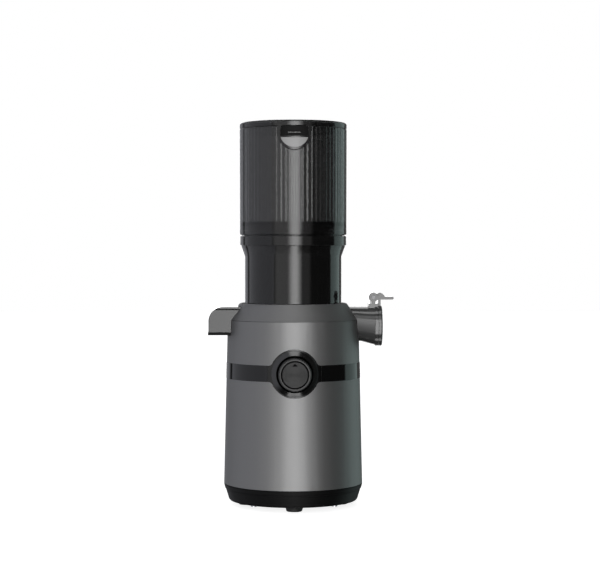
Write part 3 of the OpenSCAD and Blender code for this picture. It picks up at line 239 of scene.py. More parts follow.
@dataclass(frozen=True)
class Paint(Finish):
    """Satin metallic paint: aluminium flakes under a matt clear coat, with a faint orange peel.

    The flakes are drawn coarser than real ones, so that they show.
    """

    colour: str
    flake_colour: str
    roughness: float
    metallic: float = 0.85
    flake_mm: float = 0.5
    flake_share: float = 0.35
    peel_mm: float = 2.2
    peel_depth_mm: float = 0.02

    def shader(self, tree: Tree, place: Socket) -> Socket:
        """Builds the shader.

        Args:
            tree: the material's tree.
            place: the object coordinates.

        Returns:
            The shader.
        """
        flakes = add(tree, "TexVoronoi", {"Vector": place, "Scale": 1 / (self.flake_mm * MM)})
        share = add(tree, "MapRange", {"Value": flakes, "From Max": 0.8, "To Max": self.flake_share})
        tone = add(tree, "Mix", {
            "Factor": share, "A": linear(self.colour), "B": linear(self.flake_colour)}, data_type="RGBA")
        peel = add(tree, "TexNoise", {"Vector": place, "Scale": 1 / (self.peel_mm * MM), "Detail": 1.0})
        bump = add(tree, "Bump", {"Height": peel, "Strength": 0.12, "Distance": self.peel_depth_mm * MM})
        return add(tree, "BsdfPrincipled", {
            "Base Color": tone, "Metallic": self.metallic, "Roughness": self.roughness, "Normal": bump})


@dataclass(frozen=True)
class Smoked(Finish):
    """Smoked clear copolyester, injection moulded and polished: light passes, dimmed by each wall.

    The clear share bends light as glass does, and the body share is the smoke seen from outside,
    with a painted edge light in the edge colour where the wall is seen edge on. Flutes on the inner
    face glint under the smooth outer polish. Below them, where one wall stands behind another, the
    smoke's colour gives way to a painted shade.
    """

    tint: str
    body: str
    edge: str
    body_share: float
    roughness: float = 0.06
    ior: float = 1.52
    edge_power: float = 5.0
    flow_mm: float = 35.0
    flutes: int = 0
    flute_depth_mm: float = 0.25
    flute_from_mm: float = 0.0
    flute_roughness: float = 0.12
    coat: float = 0.7
    shade: str = "#0c0c0c"

    def shader(self, tree: Tree, place: Socket) -> Socket:
        """Builds the shader.

        Args:
            tree: the material's tree.
            place: the object coordinates.

        Returns:
            The shader.
        """
        flow = add(tree, "TexNoise", {"Vector": place, "Scale": 1 / (self.flow_mm * MM), "Detail": 2.0})
        rough = add(tree, "MapRange", {
            "Value": flow, "To Min": self.roughness * 0.8, "To Max": self.roughness * 1.2})
        clear = add(tree, "BsdfPrincipled", {
            "Base Color": linear(self.tint), "Roughness": rough, "IOR": self.ior,
            "Transmission Weight": 1.0})
        # Painted edge light: the smoke turns to the edge colour where the wall is seen edge on
        slant = add(tree, "LayerWeight", {"Blend": 0.5}, "Facing")
        glow = add(tree, "Math", {0: slant, 1: self.edge_power}, operation="POWER")
        smoke = add(tree, "Mix", {
            "Factor": glow, "A": linear(self.body), "B": linear(self.edge)}, data_type="RGBA")
        look = {"Base Color": smoke, "Roughness": rough, "IOR": self.ior}
        if self.flutes:
            look.update(self.fluted(tree, place, smoke))
        dense = add(tree, "BsdfPrincipled", look)
        return add(tree, "MixShader", {"Fac": self.body_share, 1: clear, 2: dense})

    def fluted(self, tree: Tree, place: Socket, smoke: Socket) -> dict:
        """Bends the inner glint in step with the flutes and paints a shade on the foot below them.

        Args:
            tree: the material's tree.
            place: the object coordinates.
            smoke: the smoke's colour.

        Returns:
            The inputs of the dense share that the flutes change.
        """
        x, y, z = add(tree, "SeparateXYZ", {"Vector": place}).node.outputs
        start = self.flute_from_mm * MM
        # One ramp is the coat's weight and the share that the smoke's colour has over the painted shade's
        above = add(tree, "MapRange", {
            "Value": z, "From Min": start - MM, "From Max": start, "To Max": self.coat})
        azimuth = add(tree, "Math", {0: y, 1: x}, operation="ARCTAN2")
        phase = add(tree, "Math", {0: azimuth, 1: float(self.flutes)}, operation="MULTIPLY")
        wave = add(tree, "Math", {0: phase}, operation="COSINE")
        on = add(tree, "Math", {0: z, 1: start}, operation="GREATER_THAN")
        height = add(tree, "Math", {0: wave, 1: on}, operation="MULTIPLY")
        return {
            # Painted shade on the foot below the flutes
            "Base Color": add(tree, "Mix", {
                "Factor": above, "A": linear(self.shade), "B": smoke}, data_type="RGBA"),
            "Normal": add(tree, "Bump", {
                "Height": height, "Strength": 1.0, "Distance": self.flute_depth_mm * MM}),
            "Roughness": self.flute_roughness, "Coat Weight": above, "Coat Roughness": self.roughness}


class Lay(Enum):
    """Which way the tool marks run on a machined piece: how dense they are along each axis."""

    ALONG = (400.0, 400.0, 6.0)
    ROUND = (8.0, 8.0, 900.0)


@dataclass(frozen=True)
class Metal(Finish):
    """Bare metal with the marks of its last tool."""

    colour: str
    roughness: float = 0.28
    lay: Lay = Lay.ROUND
    mark_depth_mm: float = 0.01

    def shader(self, tree: Tree, place: Socket) -> Socket:
        """Builds the shader.

        Args:
            tree: the material's tree.
            place: the object coordinates.

        Returns:
            The shader.
        """
        drawn = add(tree, "Mapping", {"Vector": place, "Scale": self.lay.value})
        marks = add(tree, "TexNoise", {"Vector": drawn, "Scale": 4.0, "Detail": 3.0})
        rough = add(tree, "MapRange", {
            "Value": marks, "To Min": self.roughness * 0.7, "To Max": self.roughness * 1.3})
        bump = add(tree, "Bump", {"Height": marks, "Strength": 0.15, "Distance": self.mark_depth_mm * MM})
        return add(tree, "BsdfPrincipled", {
            "Base Color": linear(self.colour), "Metallic": 1.0, "Roughness": rough, "Normal": bump})


# ---- studio

@dataclass(frozen=True)
class Softbox:
    """A glowing panel of the studio, seen from the object at an azimuth from the front.

    Azimuth 0 is the front, +90 the right. The panel spans two heights above the horizon, all in
    degrees, and fades out over an edge at its sides and a rise at its ends.
    """

    azimuth: float
    half_width: float
    edge: float
    low: float
    high: float
    rise: float
    strength: float
    colour: str = WHITE

    def light(self, tree: Tree, azimuth: Socket, height: Socket, total: Socket) -> Socket:
        """Adds the panel to the light of the sky.

        Args:
            tree: the world's tree.
            azimuth: the direction's azimuth in radians.
            height: the direction's height above the horizon in radians.
            total: the light so far.

        Returns:
            The light with this panel.
        """
        off = add(tree, "Math", {0: azimuth, 1: math.radians(self.azimuth)}, operation="SUBTRACT")
        side = add(tree, "Math", {0: off, 1: -math.pi, 2: math.pi}, operation="WRAP")
        middle = math.radians((self.low + self.high) / 2)
        up = add(tree, "Math", {0: height, 1: middle}, operation="SUBTRACT")
        shares = {}
        for way, half, fade in ((side, self.half_width, self.edge),
                                (up, (self.high - self.low) / 2, self.rise)):
            away = add(tree, "Math", {0: way}, operation="ABSOLUTE")
            shares[len(shares)] = add(tree, "MapRange", {
                "Value": away, "From Min": math.radians(half), "From Max": math.radians(half + fade),
                "To Min": 1.0, "To Max": 0.0}, interpolation_type="SMOOTHSTEP")
        share = add(tree, "Math", shares, operation="MULTIPLY")
        glow = tuple(c * self.strength for c in linear(self.colour)[:3])
        light = add(tree, "VectorMath", {0: glow, "Scale": share}, operation="SCALE")
        return add(tree, "VectorMath", {0: total, 1: light}, operation="ADD")


@dataclass
class Studio:
    """White studio: dark surroundings with softboxes, a pale floor and the camera."""

    ambient: float = 0.03
    boxes: tuple[Softbox, ...] = (
        # Key panel behind the camera, a dimmer one over it and two wide dim ones round it
        Softbox(3, 2, 17, -40, 32, 12, 4.9),
        Softbox(3, 4, 18, 46, 56, 6, 1.5),
        Softbox(-26, 14, 14, -40, 38, 12, 0.5),
        Softbox(-2, 36, 10, -25, 20, 25, 0.3),
        # White walls on the left and the right
        Softbox(-89, 39, 4, -30, 60, 25, 0.6, "#f4f6ff"),
        Softbox(120, 19, 4, -30, 25, 10, 0.8, "#dcf5f2"),
        # Narrow panels behind the walls
        Softbox(-152, 9, 8, -20, 40, 15, 0.45, "#f4f6ff"),
        Softbox(152, 9, 8, -20, 40, 15, 0.1),
        # Overhead scrim, and the light that the table sends back
        Softbox(0, 100, 10, 76, 87, 5, 2.7),
        Softbox(0, 100, 10, -87, -76, 5, 2.6),
        # The back has a panel of its own
        Softbox(180, 5, 6, -30, 50, 20, 2.5),
    )
    eye: Spot = (-0.045, -2.0, 0.3067)
    aim: Spot = (0.0082, 0.0, 0.2677)
    lens: float = 100.0
    floor_size: float = 12.0
    floor_colour: str = "#c8c8c8"
    floor_glow: float = 0.86

    def camera(self) -> None:
        """Places the camera at the front, a little to the left, looking slightly down."""
        data = bpy.data.cameras.new("camera")
        data.lens, data.sensor_width = self.lens, 36.0
        data.clip_start, data.clip_end = 0.05, 50.0
        camera = bpy.data.objects.new("camera", data)
        bpy.context.scene.collection.objects.link(camera)
        camera.location = self.eye
        camera.rotation_mode = "QUATERNION"
        camera.rotation_quaternion = (Vector(self.aim) - camera.location).to_track_quat("-Z", "Y")
        bpy.context.scene.camera = camera

    def floor(self) -> None:
        """Lays the pale floor, which only the camera sees, so that nothing mirrors it."""
        bpy.ops.mesh.primitive_plane_add(size=self.floor_size, location=(0, 0, 0))
        floor = bpy.context.object
        floor.name = "floor"
        material, tree = new_material("matt white backdrop")
        paper = add(tree, "BsdfDiffuse", {"Color": linear(self.floor_colour)})
        glow = add(tree, "Emission", {"Color": linear(WHITE), "Strength": self.floor_glow})
        add(tree, "OutputMaterial", {"Surface": add(tree, "AddShader", {0: paper, 1: glow})})
        floor.data.materials.append(material)
        floor.visible_glossy = False
        floor.visible_diffuse = False

    def world(self) -> None:
        """Builds the sky: white to the camera and through clear walls, the softboxes to all else."""
        world = bpy.data.worlds.new("studio")
        bpy.context.scene.world = world
        world.use_nodes = True
        tree = world.node_tree
        tree.nodes.clear()
        way = add(tree, "TexCoord", output="Generated")
        x, y, z = add(tree, "SeparateXYZ", {"Vector": way}).node.outputs
        back = add(tree, "Math", {0: y, 1: -1.0}, operation="MULTIPLY")
        azimuth = add(tree, "Math", {0: x, 1: back}, operation="ARCTAN2")
        height = add(tree, "Math", {0: z}, operation="ARCSINE")
        total = add(tree, "RGB")
        total.default_value = (self.ambient, self.ambient, self.ambient, 1.0)
        for box in self.boxes:
            total = box.light(tree, azimuth, height, total)
        rays = add(tree, "LightPath").node.outputs
        bounced = add(tree, "Math", {0: rays["Glossy Depth"], 1: rays["Diffuse Depth"]}, operation="ADD")
        direct = add(tree, "Math", {0: bounced, 1: 0.5}, operation="LESS_THAN")
        through = add(tree, "Math", {0: direct, 1: rays["Is Transmission Ray"]}, operation="MULTIPLY")
        straight = add(tree, "Math", {0: rays["Is Camera Ray"], 1: through}, operation="MAXIMUM")
        seen = add(tree, "Mix", {"Factor": straight, "A": total, "B": linear(WHITE)}, data_type="RGBA")
        add(tree, "OutputWorld", {"Surface": add(tree, "Background", {"Color": seen})})

    def build(self) -> None:
        """Sets up camera, floor and sky."""
        view = bpy.context.scene.view_settings
        view.view_transform, view.look = "Standard", "None"
        self.camera()
        self.floor()
        self.world()


# ---- the finishes of the imported nodes

# Painted shade for the knob's sunk pointer mark, the groove round its face and the bezel's recess
MARK_AND_RECESS_SHADE = Moulded("black ABS, painted shade in mark and recesses", "#030303", 0.8, specular=0.05)
# Frosted grip: its roughness is the frosting, its pale colour a painted highlight
GRIP = Moulded("smoked Tritan, frosted grip with painted highlight", "#8c8c8c", 0.35)
# Painted shade in the tab's pocket above the grip
POCKET = Moulded("smoked Tritan, shaded pocket", "#0a0a0a", 0.5, specular=0.1)
# Dark colour for the chute's bottom rim and sole, and painted shade in its side grooves
RIM_AND_GROOVE_SHADE = Moulded("smoked Tritan, dark rim, painted groove shade", "#0b0b0b", 0.3, specular=0.04)

NODE_FINISHES: dict[Finish, str] = {
    Paint("satin metallic grey paint on ABS", "#7a7a7a", "#8c8c8c", 0.5): "body_housing shoulder_ring",
    Moulded("black ABS, spark-eroded grain", "#0e0e0e", 0.45, specular=0.1): "base_ring bottom_plate",
    Moulded("black rubber, matt moulded", "#151515", 0.7, grain_mm=0.9): "feet cord_gland mount_dampers",
    Moulded("black ABS, polished", "#0c0c0c", 0.08, grain_depth_mm=0.0): "band selector_plate",
    Moulded("black ABS, half gloss", "#121212", 0.2, grain_depth_mm=0.0, specular=0.85): "knob_bezel",
    Moulded("black ABS, satin moulded", "#212121", 0.42, specular=0.4): "control_knob",
    Spun("black ABS, spun face", "#181818", 0.38, centre_mm=(0.0, KNOB_Z)): "knob_insert",
    # Smoked finishes: tint, body colour, painted edge light colour, body share
    Smoked("smoked Tritan, thick", "#6a6a6a", "#141414", "#b0b0b0", 0.7): "drum",
    Smoked("smoked Tritan, fluted", "#9a9a9a", "#2c2c2c", "#b0b0b0", 0.5, flutes=FLUTES,
           flute_from_mm=FLUTE_Z): "hopper",
    Smoked("smoked Tritan, lid", "#8a8a8a", "#1e1e1e", "#a0a0a0", 0.6): "lid",
    Smoked("smoked Tritan, thin", "#a0a0a0", "#4a4a4a", "#484848", 0.85): "juice_spout spout_cap",
    Smoked("smoked Tritan, chute", "#909090", "#0e0e0e", "#303030", 0.92, ior=1.45): "pulp_chute",
    Moulded("grey silicone, matt", "#5a5a5a", 0.6): "hub_seal cap_seal hopper_gasket shaft_seal",
    Moulded("black PEI, satin moulded", "#2a2a2a", 0.4): "strainer_frame auger",
    Metal("stainless steel, turned", "#c6c6c8"):
        "strainer_screen auger_socket output_shaft switch_spindle switch_nut motor_shaft motor_pinion"
        " idler_pinion output_gear idler_axle motor_bearings base_screws deck_screws case_screws",
    Metal("zinc-plated sheet steel, rolled", "#a9aaab", 0.35, Lay.ALONG): "motor_can",
    Metal("stainless steel, drawn pin", "#6e6e70", 0.45): "cap_hinge_pin lid_hinge_pin",
    Metal("electrical steel, stamped", "#6b6b70", 0.45, Lay.ALONG): "rotor_core",
    Moulded("ferrite magnet, pressed and ground", "#3c3c42", 0.5):
        "motor_magnets interlock_magnet carbon_brushes",
    Metal("enamelled copper wire, wound", "#b8713d", 0.3, Lay.ALONG): "rotor_winding commutator",
    Metal("sintered bronze, pressed", "#b08a58", 0.45): "output_bearing",
    Metal("aluminium alloy, die cast", "#a5a7aa", 0.5, Lay.ALONG): "gearbox_case gearbox_cover",
    Moulded("black nylon, moulded", "#262626", 0.5):
        "deck motor_end_cap cooling_fan selector_switch reed_switch",
    Moulded("white acetal, moulded", "#d6d6d0", 0.45): "idler_gear",
    Moulded("green glass-epoxy board, solder mask", "#1f5a36", 0.35): "control_board",
    Moulded("epoxy-potted components", "#26262a", 0.4): "board_components",
}


def dress(piece: Piece, *materials: Material) -> Piece:
    """Gives a piece its materials, the first one on all faces that have no other.

    Args:
        piece: the piece.
        materials: its materials, slot by slot.

    Returns:
        The piece.
    """
    piece.data.materials.clear()
    for material in materials:
        piece.data.materials.append(material)
    return piece


def dress_nodes() -> None:
    """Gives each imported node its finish."""
    for finish, names in NODE_FINISHES.items():
        material = finish.make()
        for name in names.split():
            dress(frame["nodes"][name], material)
        LOG.info("%s: %s", finish.name, names)


def skin(node: str) -> Material:
    """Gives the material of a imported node."""
    return frame["nodes"][node].data.materials[0]


# ---- modelling steps

class Kind(Enum):
    """What a selection picks in edit mode."""

    VERT = "verts"
    EDGE = "edges"
    FACE = "faces"


def off_axis(spot: Vector) -> float:
    """Gives a spot's distance from the Z axis."""
    return math.hypot(spot.x, spot.y)


def arc(centre: Point, radius: float, start: float, end: float, count: int = 4) -> list[Point]:
    """Places points along an arc.

    Args:
        centre: the arc's centre.
        radius: its radius.
        start: the angle of its first point in degrees.
        end: the angle of its last point in degrees.
        count: how many stretches it has.

    Returns:
        The points from start to end.
    """
    turns = [math.radians(start + (end - start) * i / count) for i in range(count + 1)]
    return [(centre[0] + radius * math.cos(t), centre[1] + radius * math.sin(t)) for t in turns]


def take(*pieces: Piece) -> None:
    """Selects objects alone and makes the first one active.

    Args:
        pieces: the objects, or none before a primitive is added.
    """
    bpy.ops.object.select_all(action="DESELECT")
    for piece in reversed(pieces):
        piece.select_set(True)
        bpy.context.view_layer.objects.active = piece


def opened(name: str) -> Piece:
    """Names the primitive just added, keeps its place in its mesh and opens it in edit mode.

    Args:
        name: the name of the object and of its mesh.

    Returns:
        The object.
    """
    piece = bpy.context.object
    piece.name = piece.data.name = name
    take(piece)
    bpy.ops.object.transform_apply()
    bpy.ops.object.mode_set(mode="EDIT")
    return piece


def pick(piece: Piece, kind: Kind, test: Test, bend: float = 0.0) -> int:
    """Selects by place, in edit mode.

    Args:
        piece: the object in edit mode.
        kind: what to select.
        test: takes the middle of each and says whether it is selected.
        bend: the least angle between an edge's two faces, in degrees.

    Returns:
        How many were selected.
    """
    bpy.ops.mesh.select_all(action="DESELECT")
    bpy.context.tool_settings.mesh_select_mode = tuple(kind is k for k in Kind)
    mesh = bmesh.from_edit_mesh(piece.data)
    found = 0
    for item in getattr(mesh, kind.value):
        if bend and not (item.is_manifold and item.calc_face_angle() > math.radians(bend)):
            continue
        corners = [item] if kind is Kind.VERT else item.verts
        middle = sum((v.co for v in corners), Vector()) / len(corners)
        if test(middle / MM):
            item.select_set(True)
            found += 1
    mesh.select_flush_mode()
    bmesh.update_edit_mesh(piece.data)
    return found


def ease(piece: Piece, near: Test, width: float, segments: int, bend: float = 0.0,
         clamp: bool = False) -> None:
    """Rounds edges by place, in edit mode.

    Args:
        piece: the object in edit mode.
        near: takes the middle of an edge and says whether it is rounded.
        width: the rounding's width.
        segments: how many strips of faces it gets.
        bend: the least angle of an edge that is rounded, in degrees.
        clamp: True keeps the strips from running into each other.
    """
    if pick(piece, Kind.EDGE, near, bend):
        bpy.ops.mesh.bevel(offset=width * MM, segments=segments, affect="EDGES", clamp_overlap=clamp)


def shift(x: float = 0.0, y: float = 0.0, z: float = 0.0) -> None:
    """Moves what is selected in edit mode."""
    bpy.ops.transform.translate(value=(x * MM, y * MM, z * MM))


def widen(x: float, y: float) -> None:
    """Scales what is selected in edit mode about the Z axis."""
    bpy.ops.transform.resize(value=(x, y, 1.0), center_override=(0.0, 0.0, 0.0))


def close_up(piece: Piece) -> Piece:
    """Merges doubles, turns all faces outwards and leaves edit mode.

    Args:
        piece: the object in edit mode.

    Returns:
        The object.
    """
    bpy.ops.mesh.select_all(action="SELECT")
    bpy.ops.mesh.remove_doubles(threshold=0.002 * MM)
    bpy.ops.mesh.normals_make_consistent(inside=False)
    bpy.ops.object.mode_set(mode="OBJECT")
    return piece


def turned(name: str, outline: list[Point], steps: int = 96, loop: bool = False) -> Piece:
    """Turns an outline round +Z: a ring of vertices is extruded and widened from point to point.

    Args:
        name: the piece's name.
        outline: radii and heights in order along the outline.
        steps: vertices of each ring.
        loop: True joins the last ring to the first, False closes both with flat faces.

    Returns:
        The piece.
    """
    radius, height = outline[0]
    take()
    bpy.ops.mesh.primitive_circle_add(vertices=steps, radius=radius * MM, location=(0, 0, height * MM))
    piece = opened(name)
    bpy.ops.mesh.select_all(action="SELECT")
    if not loop:
        bpy.ops.mesh.edge_face_add()
        pick(piece, Kind.EDGE, lambda middle: True)
    for next_radius, next_height in outline[1:] + (outline[:1] if loop else []):
        bpy.ops.mesh.extrude_edges_move()
        shift(z=next_height - height)
        widen(next_radius / radius, next_radius / radius)
        radius, height = next_radius, next_height
    if not loop:
        bpy.ops.mesh.edge_face_add()
    return close_up(piece)


def sleeve(name: str, bore: float, radius: float, ends: Point, edge: float, steps: int = 40) -> Piece:
    """Turns a hollow rod with bevelled rims.

    Args:
        name: the piece's name.
        bore: the radius of its hole.
        radius: its outer radius.
        ends: its lowest and its highest Z.
        edge: the bevel's width.
        steps: vertices of each ring.

    Returns:
        The piece.
    """
    low, high = ends
    return turned(name, [(bore, low), (radius - edge, low), (radius, low + edge), (radius, high - edge),
                         (radius - edge, high), (bore, high)], steps, loop=True)


def block(name: str, *spans: Point, stay_open: bool = False) -> Piece:
    """Adds a box.

    Args:
        name: the piece's name.
        spans: where it starts and ends along X, Y and Z.
        stay_open: True leaves it open in edit mode.

    Returns:
        The piece.
    """
    take()
    bpy.ops.mesh.primitive_cube_add(size=1.0, location=[(a + b) / 2 * MM for a, b in spans],
                                    scale=[(b - a) * MM for a, b in spans])
    piece = opened(name)
    return piece if stay_open else close_up(piece)


def softened(node: str, near: Test, width: float, bend: float = 20.0) -> Piece:
    """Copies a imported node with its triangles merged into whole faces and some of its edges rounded.

    Args:
        node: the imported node.
        near: takes the middle of an edge and says whether it is rounded.
        width: the rounding's width.
        bend: the least angle of an edge that is rounded, in degrees.

    Returns:
        The piece.
    """
    piece = bpy.data.objects.new(node + "_soft", frame["nodes"][node].data.copy())
    piece.data.name = piece.name
    bpy.context.scene.collection.objects.link(piece)
    take(piece)
    bpy.ops.object.mode_set(mode="EDIT")
    bpy.ops.mesh.select_all(action="SELECT")
    bpy.ops.mesh.remove_doubles(threshold=0.001 * MM)
    bpy.ops.mesh.dissolve_limited(angle_limit=math.radians(0.5))
    ease(piece, near, width, 2, bend, clamp=True)
    return close_up(piece)


def lay(piece: Piece, place: Spot = (0.0, 0.0, 0.0), turn: Spot = (0.0, 0.0, 0.0)) -> Piece:
    """Turns a piece and then moves it, and keeps both in its mesh.

    Args:
        piece: the piece.
        place: how far it moves.
        turn: how far it turns about each axis, in degrees.

    Returns:
        The piece.
    """
    take(piece)
    piece.rotation_mode = "XYZ"
    piece.rotation_euler = [math.radians(t) for t in turn]
    piece.location = [p * MM for p in place]
    bpy.ops.object.transform_apply()
    return piece


def repeated(piece: Piece, *turns: float) -> list[Piece]:
    """Copies a piece round the Z axis, each copy with its own mesh.

    Args:
        piece: the piece, which takes the first place itself.
        turns: the place of each, in degrees.

    Returns:
        The pieces.
    """
    pieces = [piece]
    for turn in turns[1:]:
        copy = piece.copy()
        copy.data = piece.data.copy()
        bpy.context.scene.collection.objects.link(copy)
        pieces.append(lay(copy, turn=(0.0, 0.0, turn)))
    lay(piece, turn=(0.0, 0.0, turns[0]))
    return pieces


def carve(piece: Piece, tool: Piece, operation: str = "DIFFERENCE") -> None:
    """Takes a tool's shape out of a piece, or adds it, and removes the tool.

    Args:
        piece: the piece.
        tool: the tool.
        operation: the Boolean operation.
    """
    take(piece)
    cut = piece.modifiers.new("cut", "BOOLEAN")
    cut.operation, cut.solver, cut.object, cut.material_mode = operation, "EXACT", tool, "TRANSFER"
    bpy.ops.object.modifier_apply(modifier=cut.name)
    bpy.data.objects.remove(tool)


def rounded(piece: Piece, width: float, segments: int = 2, angle: float = 30.0) -> Piece:
    """Rounds all sharp edges.

    Args:
        piece: the piece.
        width: the rounding's width.
        segments: how many strips of faces it gets.
        angle: the least angle of a sharp edge, in degrees.

    Returns:
        The piece.
    """
    take(piece)
    bevel = piece.modifiers.new("rounding", "BEVEL")
    bevel.width, bevel.segments = width * MM, segments
    bevel.limit_method, bevel.angle_limit = "ANGLE", math.radians(angle)
    bpy.ops.object.modifier_apply(modifier=bevel.name)
    return piece


def joined(*pieces: Piece) -> Piece:
    """Joins pieces that are moulded as one.

    Args:
        pieces: the pieces, the first of which keeps its name.

    Returns:
        The first piece.
    """
    take(*pieces)
    bpy.ops.object.join()
    return pieces[0]


def tint(piece: Piece, slot: int) -> None:
    """Gives the faces selected in edit mode another of the piece's materials.

    Args:
        piece: the object in edit mode.
        slot: the material's slot.
    """
    mesh = bmesh.from_edit_mesh(piece.data)
    for face in mesh.faces:
        if face.select:
            face.material_index = slot
    bmesh.update_edit_mesh(piece.data)


def stands_for(piece: Piece, node: str) -> None:
    """Shades a piece, puts it on its node's body and lets it stand for the node.

    Args:
        piece: the piece.
        node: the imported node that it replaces.
    """
    take(piece)
    bpy.ops.object.shade_smooth_by_angle(angle=math.radians(32))
    weights = piece.modifiers.new("weights", "WEIGHTED_NORMAL")
    weights.keep_sharp = True
    bpy.ops.object.modifier_apply(modifier=weights.name)
    if not any(piece.data.materials):
        dress(piece, skin(node))
    record = frame["record"]
    body = next(name for name, nodes in record["behaviour"]["bodies"].items() if node in nodes)
    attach(piece, body)
    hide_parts(node)
    LOG.info("%s: %d faces, on %s, %s", piece.name, len(piece.data.polygons), body, skin(node).name)


# ---- sub-assemblies

@dataclass
class Body:
    """Painted body shell, base ring and feet."""

    shell_edge: float = 0.35
    base_edge: float = 0.2
    foot_r: float = 10.5
    foot_h: float = 6.7
    stem_r: float = 3.4

    def build(self) -> None:
        """Rounds the shell's two ends and the base ring, and turns the feet."""
        low, high = SHELL_FOOT[1] + 0.1, SHELL_RIM[1] - 0.1
        shell = softened("body_housing", lambda m: not low <= m.z <= high, self.shell_edge)
        stands_for(shell, "body_housing")
        stands_for(softened("base_ring", lambda m: True, self.base_edge), "base_ring")
        self.feet()

    def feet(self) -> None:
        """Turns one foot with a rounded sole and copies it to four places."""
        _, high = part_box("feet")
        reach, stem_z, radius = high[0] / MM, high[2] / MM, self.foot_r
        foot = turned("foot_soft", [
            (radius - 3.5, 0.0), *arc((radius - 2.4, 1.4), 1.4, -90, 0), (radius, 4.8),
            *arc((radius - 0.5, 5.3), 0.5, 0, 60, 2), (radius - 1.3, self.foot_h),
            (self.stem_r + 0.1, self.foot_h), (self.stem_r, stem_z)], 48)
        lay(foot, (reach - radius, 0.0, 0.0))
        stands_for(joined(*repeated(foot, 0, 90, 180, 270)), "feet")


@dataclass
class Selector:
    """Selector knob in its bezel: a turned cup with an inset face and a pointer mark.

    Depths are measured forwards from the flat that the knob turns on.
    """

    flat_y: float = -79.878
    start: float = 3.1
    end: float = 16.9
    radius: float = 19.1
    rim: float = 3.0
    wall: float = 2.2
    edge: float = 1.5
    bevel: float = 0.3
    hole: float = 3.05
    hollow: float = 4.0
    insert_t: float = 1.4
    groove: float = 1.2
    dish: float = 0.12
    mark: Point = (3.7, 2.3)
    mark_depth: float = 0.1
    mark_inset: float = 3.9
    bezel_r: float = 27.0
    bezel_h: float = 6.2
    bezel_back: float = -8.0
    bezel_hole: float = 5.0
    recess_r: float = 21.5
    recess_floor: float = 2.6
    steps: int = 128

    def build(self) -> None:
        """Turns the knob's cup, then its face and the bezel."""
        inner, seat = self.radius - self.rim, self.end - self.insert_t
        bore, deep = self.radius - self.wall, self.start + self.hollow
        knob = turned("knob_cup", [
            (self.hole, seat - 2), (self.hole, deep), (bore, deep), (bore, self.start),
            (self.radius - self.bevel, self.start), (self.radius, self.start + self.bevel),
            *arc((self.radius - self.edge, self.end - self.edge), self.edge, 0, 90, 6),
            (inner + self.bevel, self.end), (inner, self.end - self.bevel), (inner, seat)],
            self.steps)
        # Painted shade on the seat, which shows in the groove round the face
        self.paint_shade(knob, "control_knob", lambda m: abs(m.z - seat) < 0.01 and off_axis(m) < 1)
        stands_for(self.face_front(knob), "control_knob")
        self.insert(inner - self.groove, seat)
        self.bezel()

    def face_front(self, piece: Piece, z: float = 0.0, depth: float = 0.0) -> Piece:
        """Turns a piece from +Z to the front, at a height over the knob's axis and a depth."""
        return lay(piece, (0.0, self.flat_y - depth, KNOB_Z + z), (90, 0, 0))

    @staticmethod
    def paint_shade(piece: Piece, node: str, test: Test) -> None:
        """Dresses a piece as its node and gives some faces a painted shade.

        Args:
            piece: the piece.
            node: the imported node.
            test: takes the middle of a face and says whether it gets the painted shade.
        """
        dress(piece, skin(node), MARK_AND_RECESS_SHADE.make())
        bpy.ops.object.mode_set(mode="EDIT")
        pick(piece, Kind.FACE, test)
        tint(piece, 1)
        bpy.ops.object.mode_set(mode="OBJECT")

    def insert(self, radius: float, seat: float) -> None:
        """Turns the slightly dished face and sinks the pointer mark into it, with a painted shade on the
        mark's sunk faces.

        Args:
            radius: the face's radius.
            seat: the depth of its back.
        """
        face = self.face_front(turned("knob_face", [
            (radius, seat), (radius, self.end - self.bevel), (radius - self.bevel, self.end),
            (radius - 1.0, self.end), (radius - 1.5, self.end - self.dish)], self.steps))
        take()
        bpy.ops.mesh.primitive_cylinder_add(vertices=3, radius=MM, depth=2 * MM)
        mark = opened("mark")
        bpy.ops.mesh.select_all(action="SELECT")
        widen(*self.mark)
        # The tool carries the painted shade onto the mark's sunk faces
        dress(close_up(mark), MARK_AND_RECESS_SHADE.make())
        self.face_front(mark, radius - self.mark_inset, self.end - self.mark_depth)
        carve(dress(face, skin("knob_insert")), mark)
        stands_for(face, "knob_insert")

    def bezel(self) -> None:
        """Turns the bezel's cone round its sloping recess, which gets a painted shade, and fits its back to
        the body.
        """
        ring = turned("bezel", [
            (self.bezel_hole, self.bezel_back), (self.bezel_r, self.bezel_back), (self.bezel_r, 1.2),
            (self.bezel_r - 0.3, 1.7), (self.recess_r + 0.1, self.bezel_h),
            (self.recess_r, self.bezel_h - 0.1), (self.recess_r, self.recess_floor + 2.4),
            (self.radius + 0.3, self.recess_floor), (self.bezel_hole, self.recess_floor)],
            self.steps, loop=True)
        # Painted shade in the recess round the knob
        self.paint_shade(ring, "knob_bezel", lambda m: m.z > 0 and off_axis(m) < self.recess_r - 0.05)
        carve(self.face_front(ring), turned("body_core", [SHELL_FOOT, SHELL_RIM], 192))
        stands_for(ring, "knob_bezel")


@dataclass
class Drum:
    """Smoked drum with its collar, under the painted shoulder ring."""

    flare_z: float = 298.0
    collar_z: float = 311.0
    collar_r: float = 62.0
    collar_edge: float = 0.4
    shoulder_edge: float = 0.3

    def build(self) -> None:
        """Rounds the collar's edges and the shoulder's lip."""
        collar = softened("drum", lambda m: m.z > self.collar_z - 0.5 and off_axis(m) > self.collar_r,
                          self.collar_edge)
        stands_for(collar, "drum")
        shoulder = softened("shoulder_ring", lambda m: m.z < self.flare_z, self.shoulder_edge)
        stands_for(shoulder, "shoulder_ring")


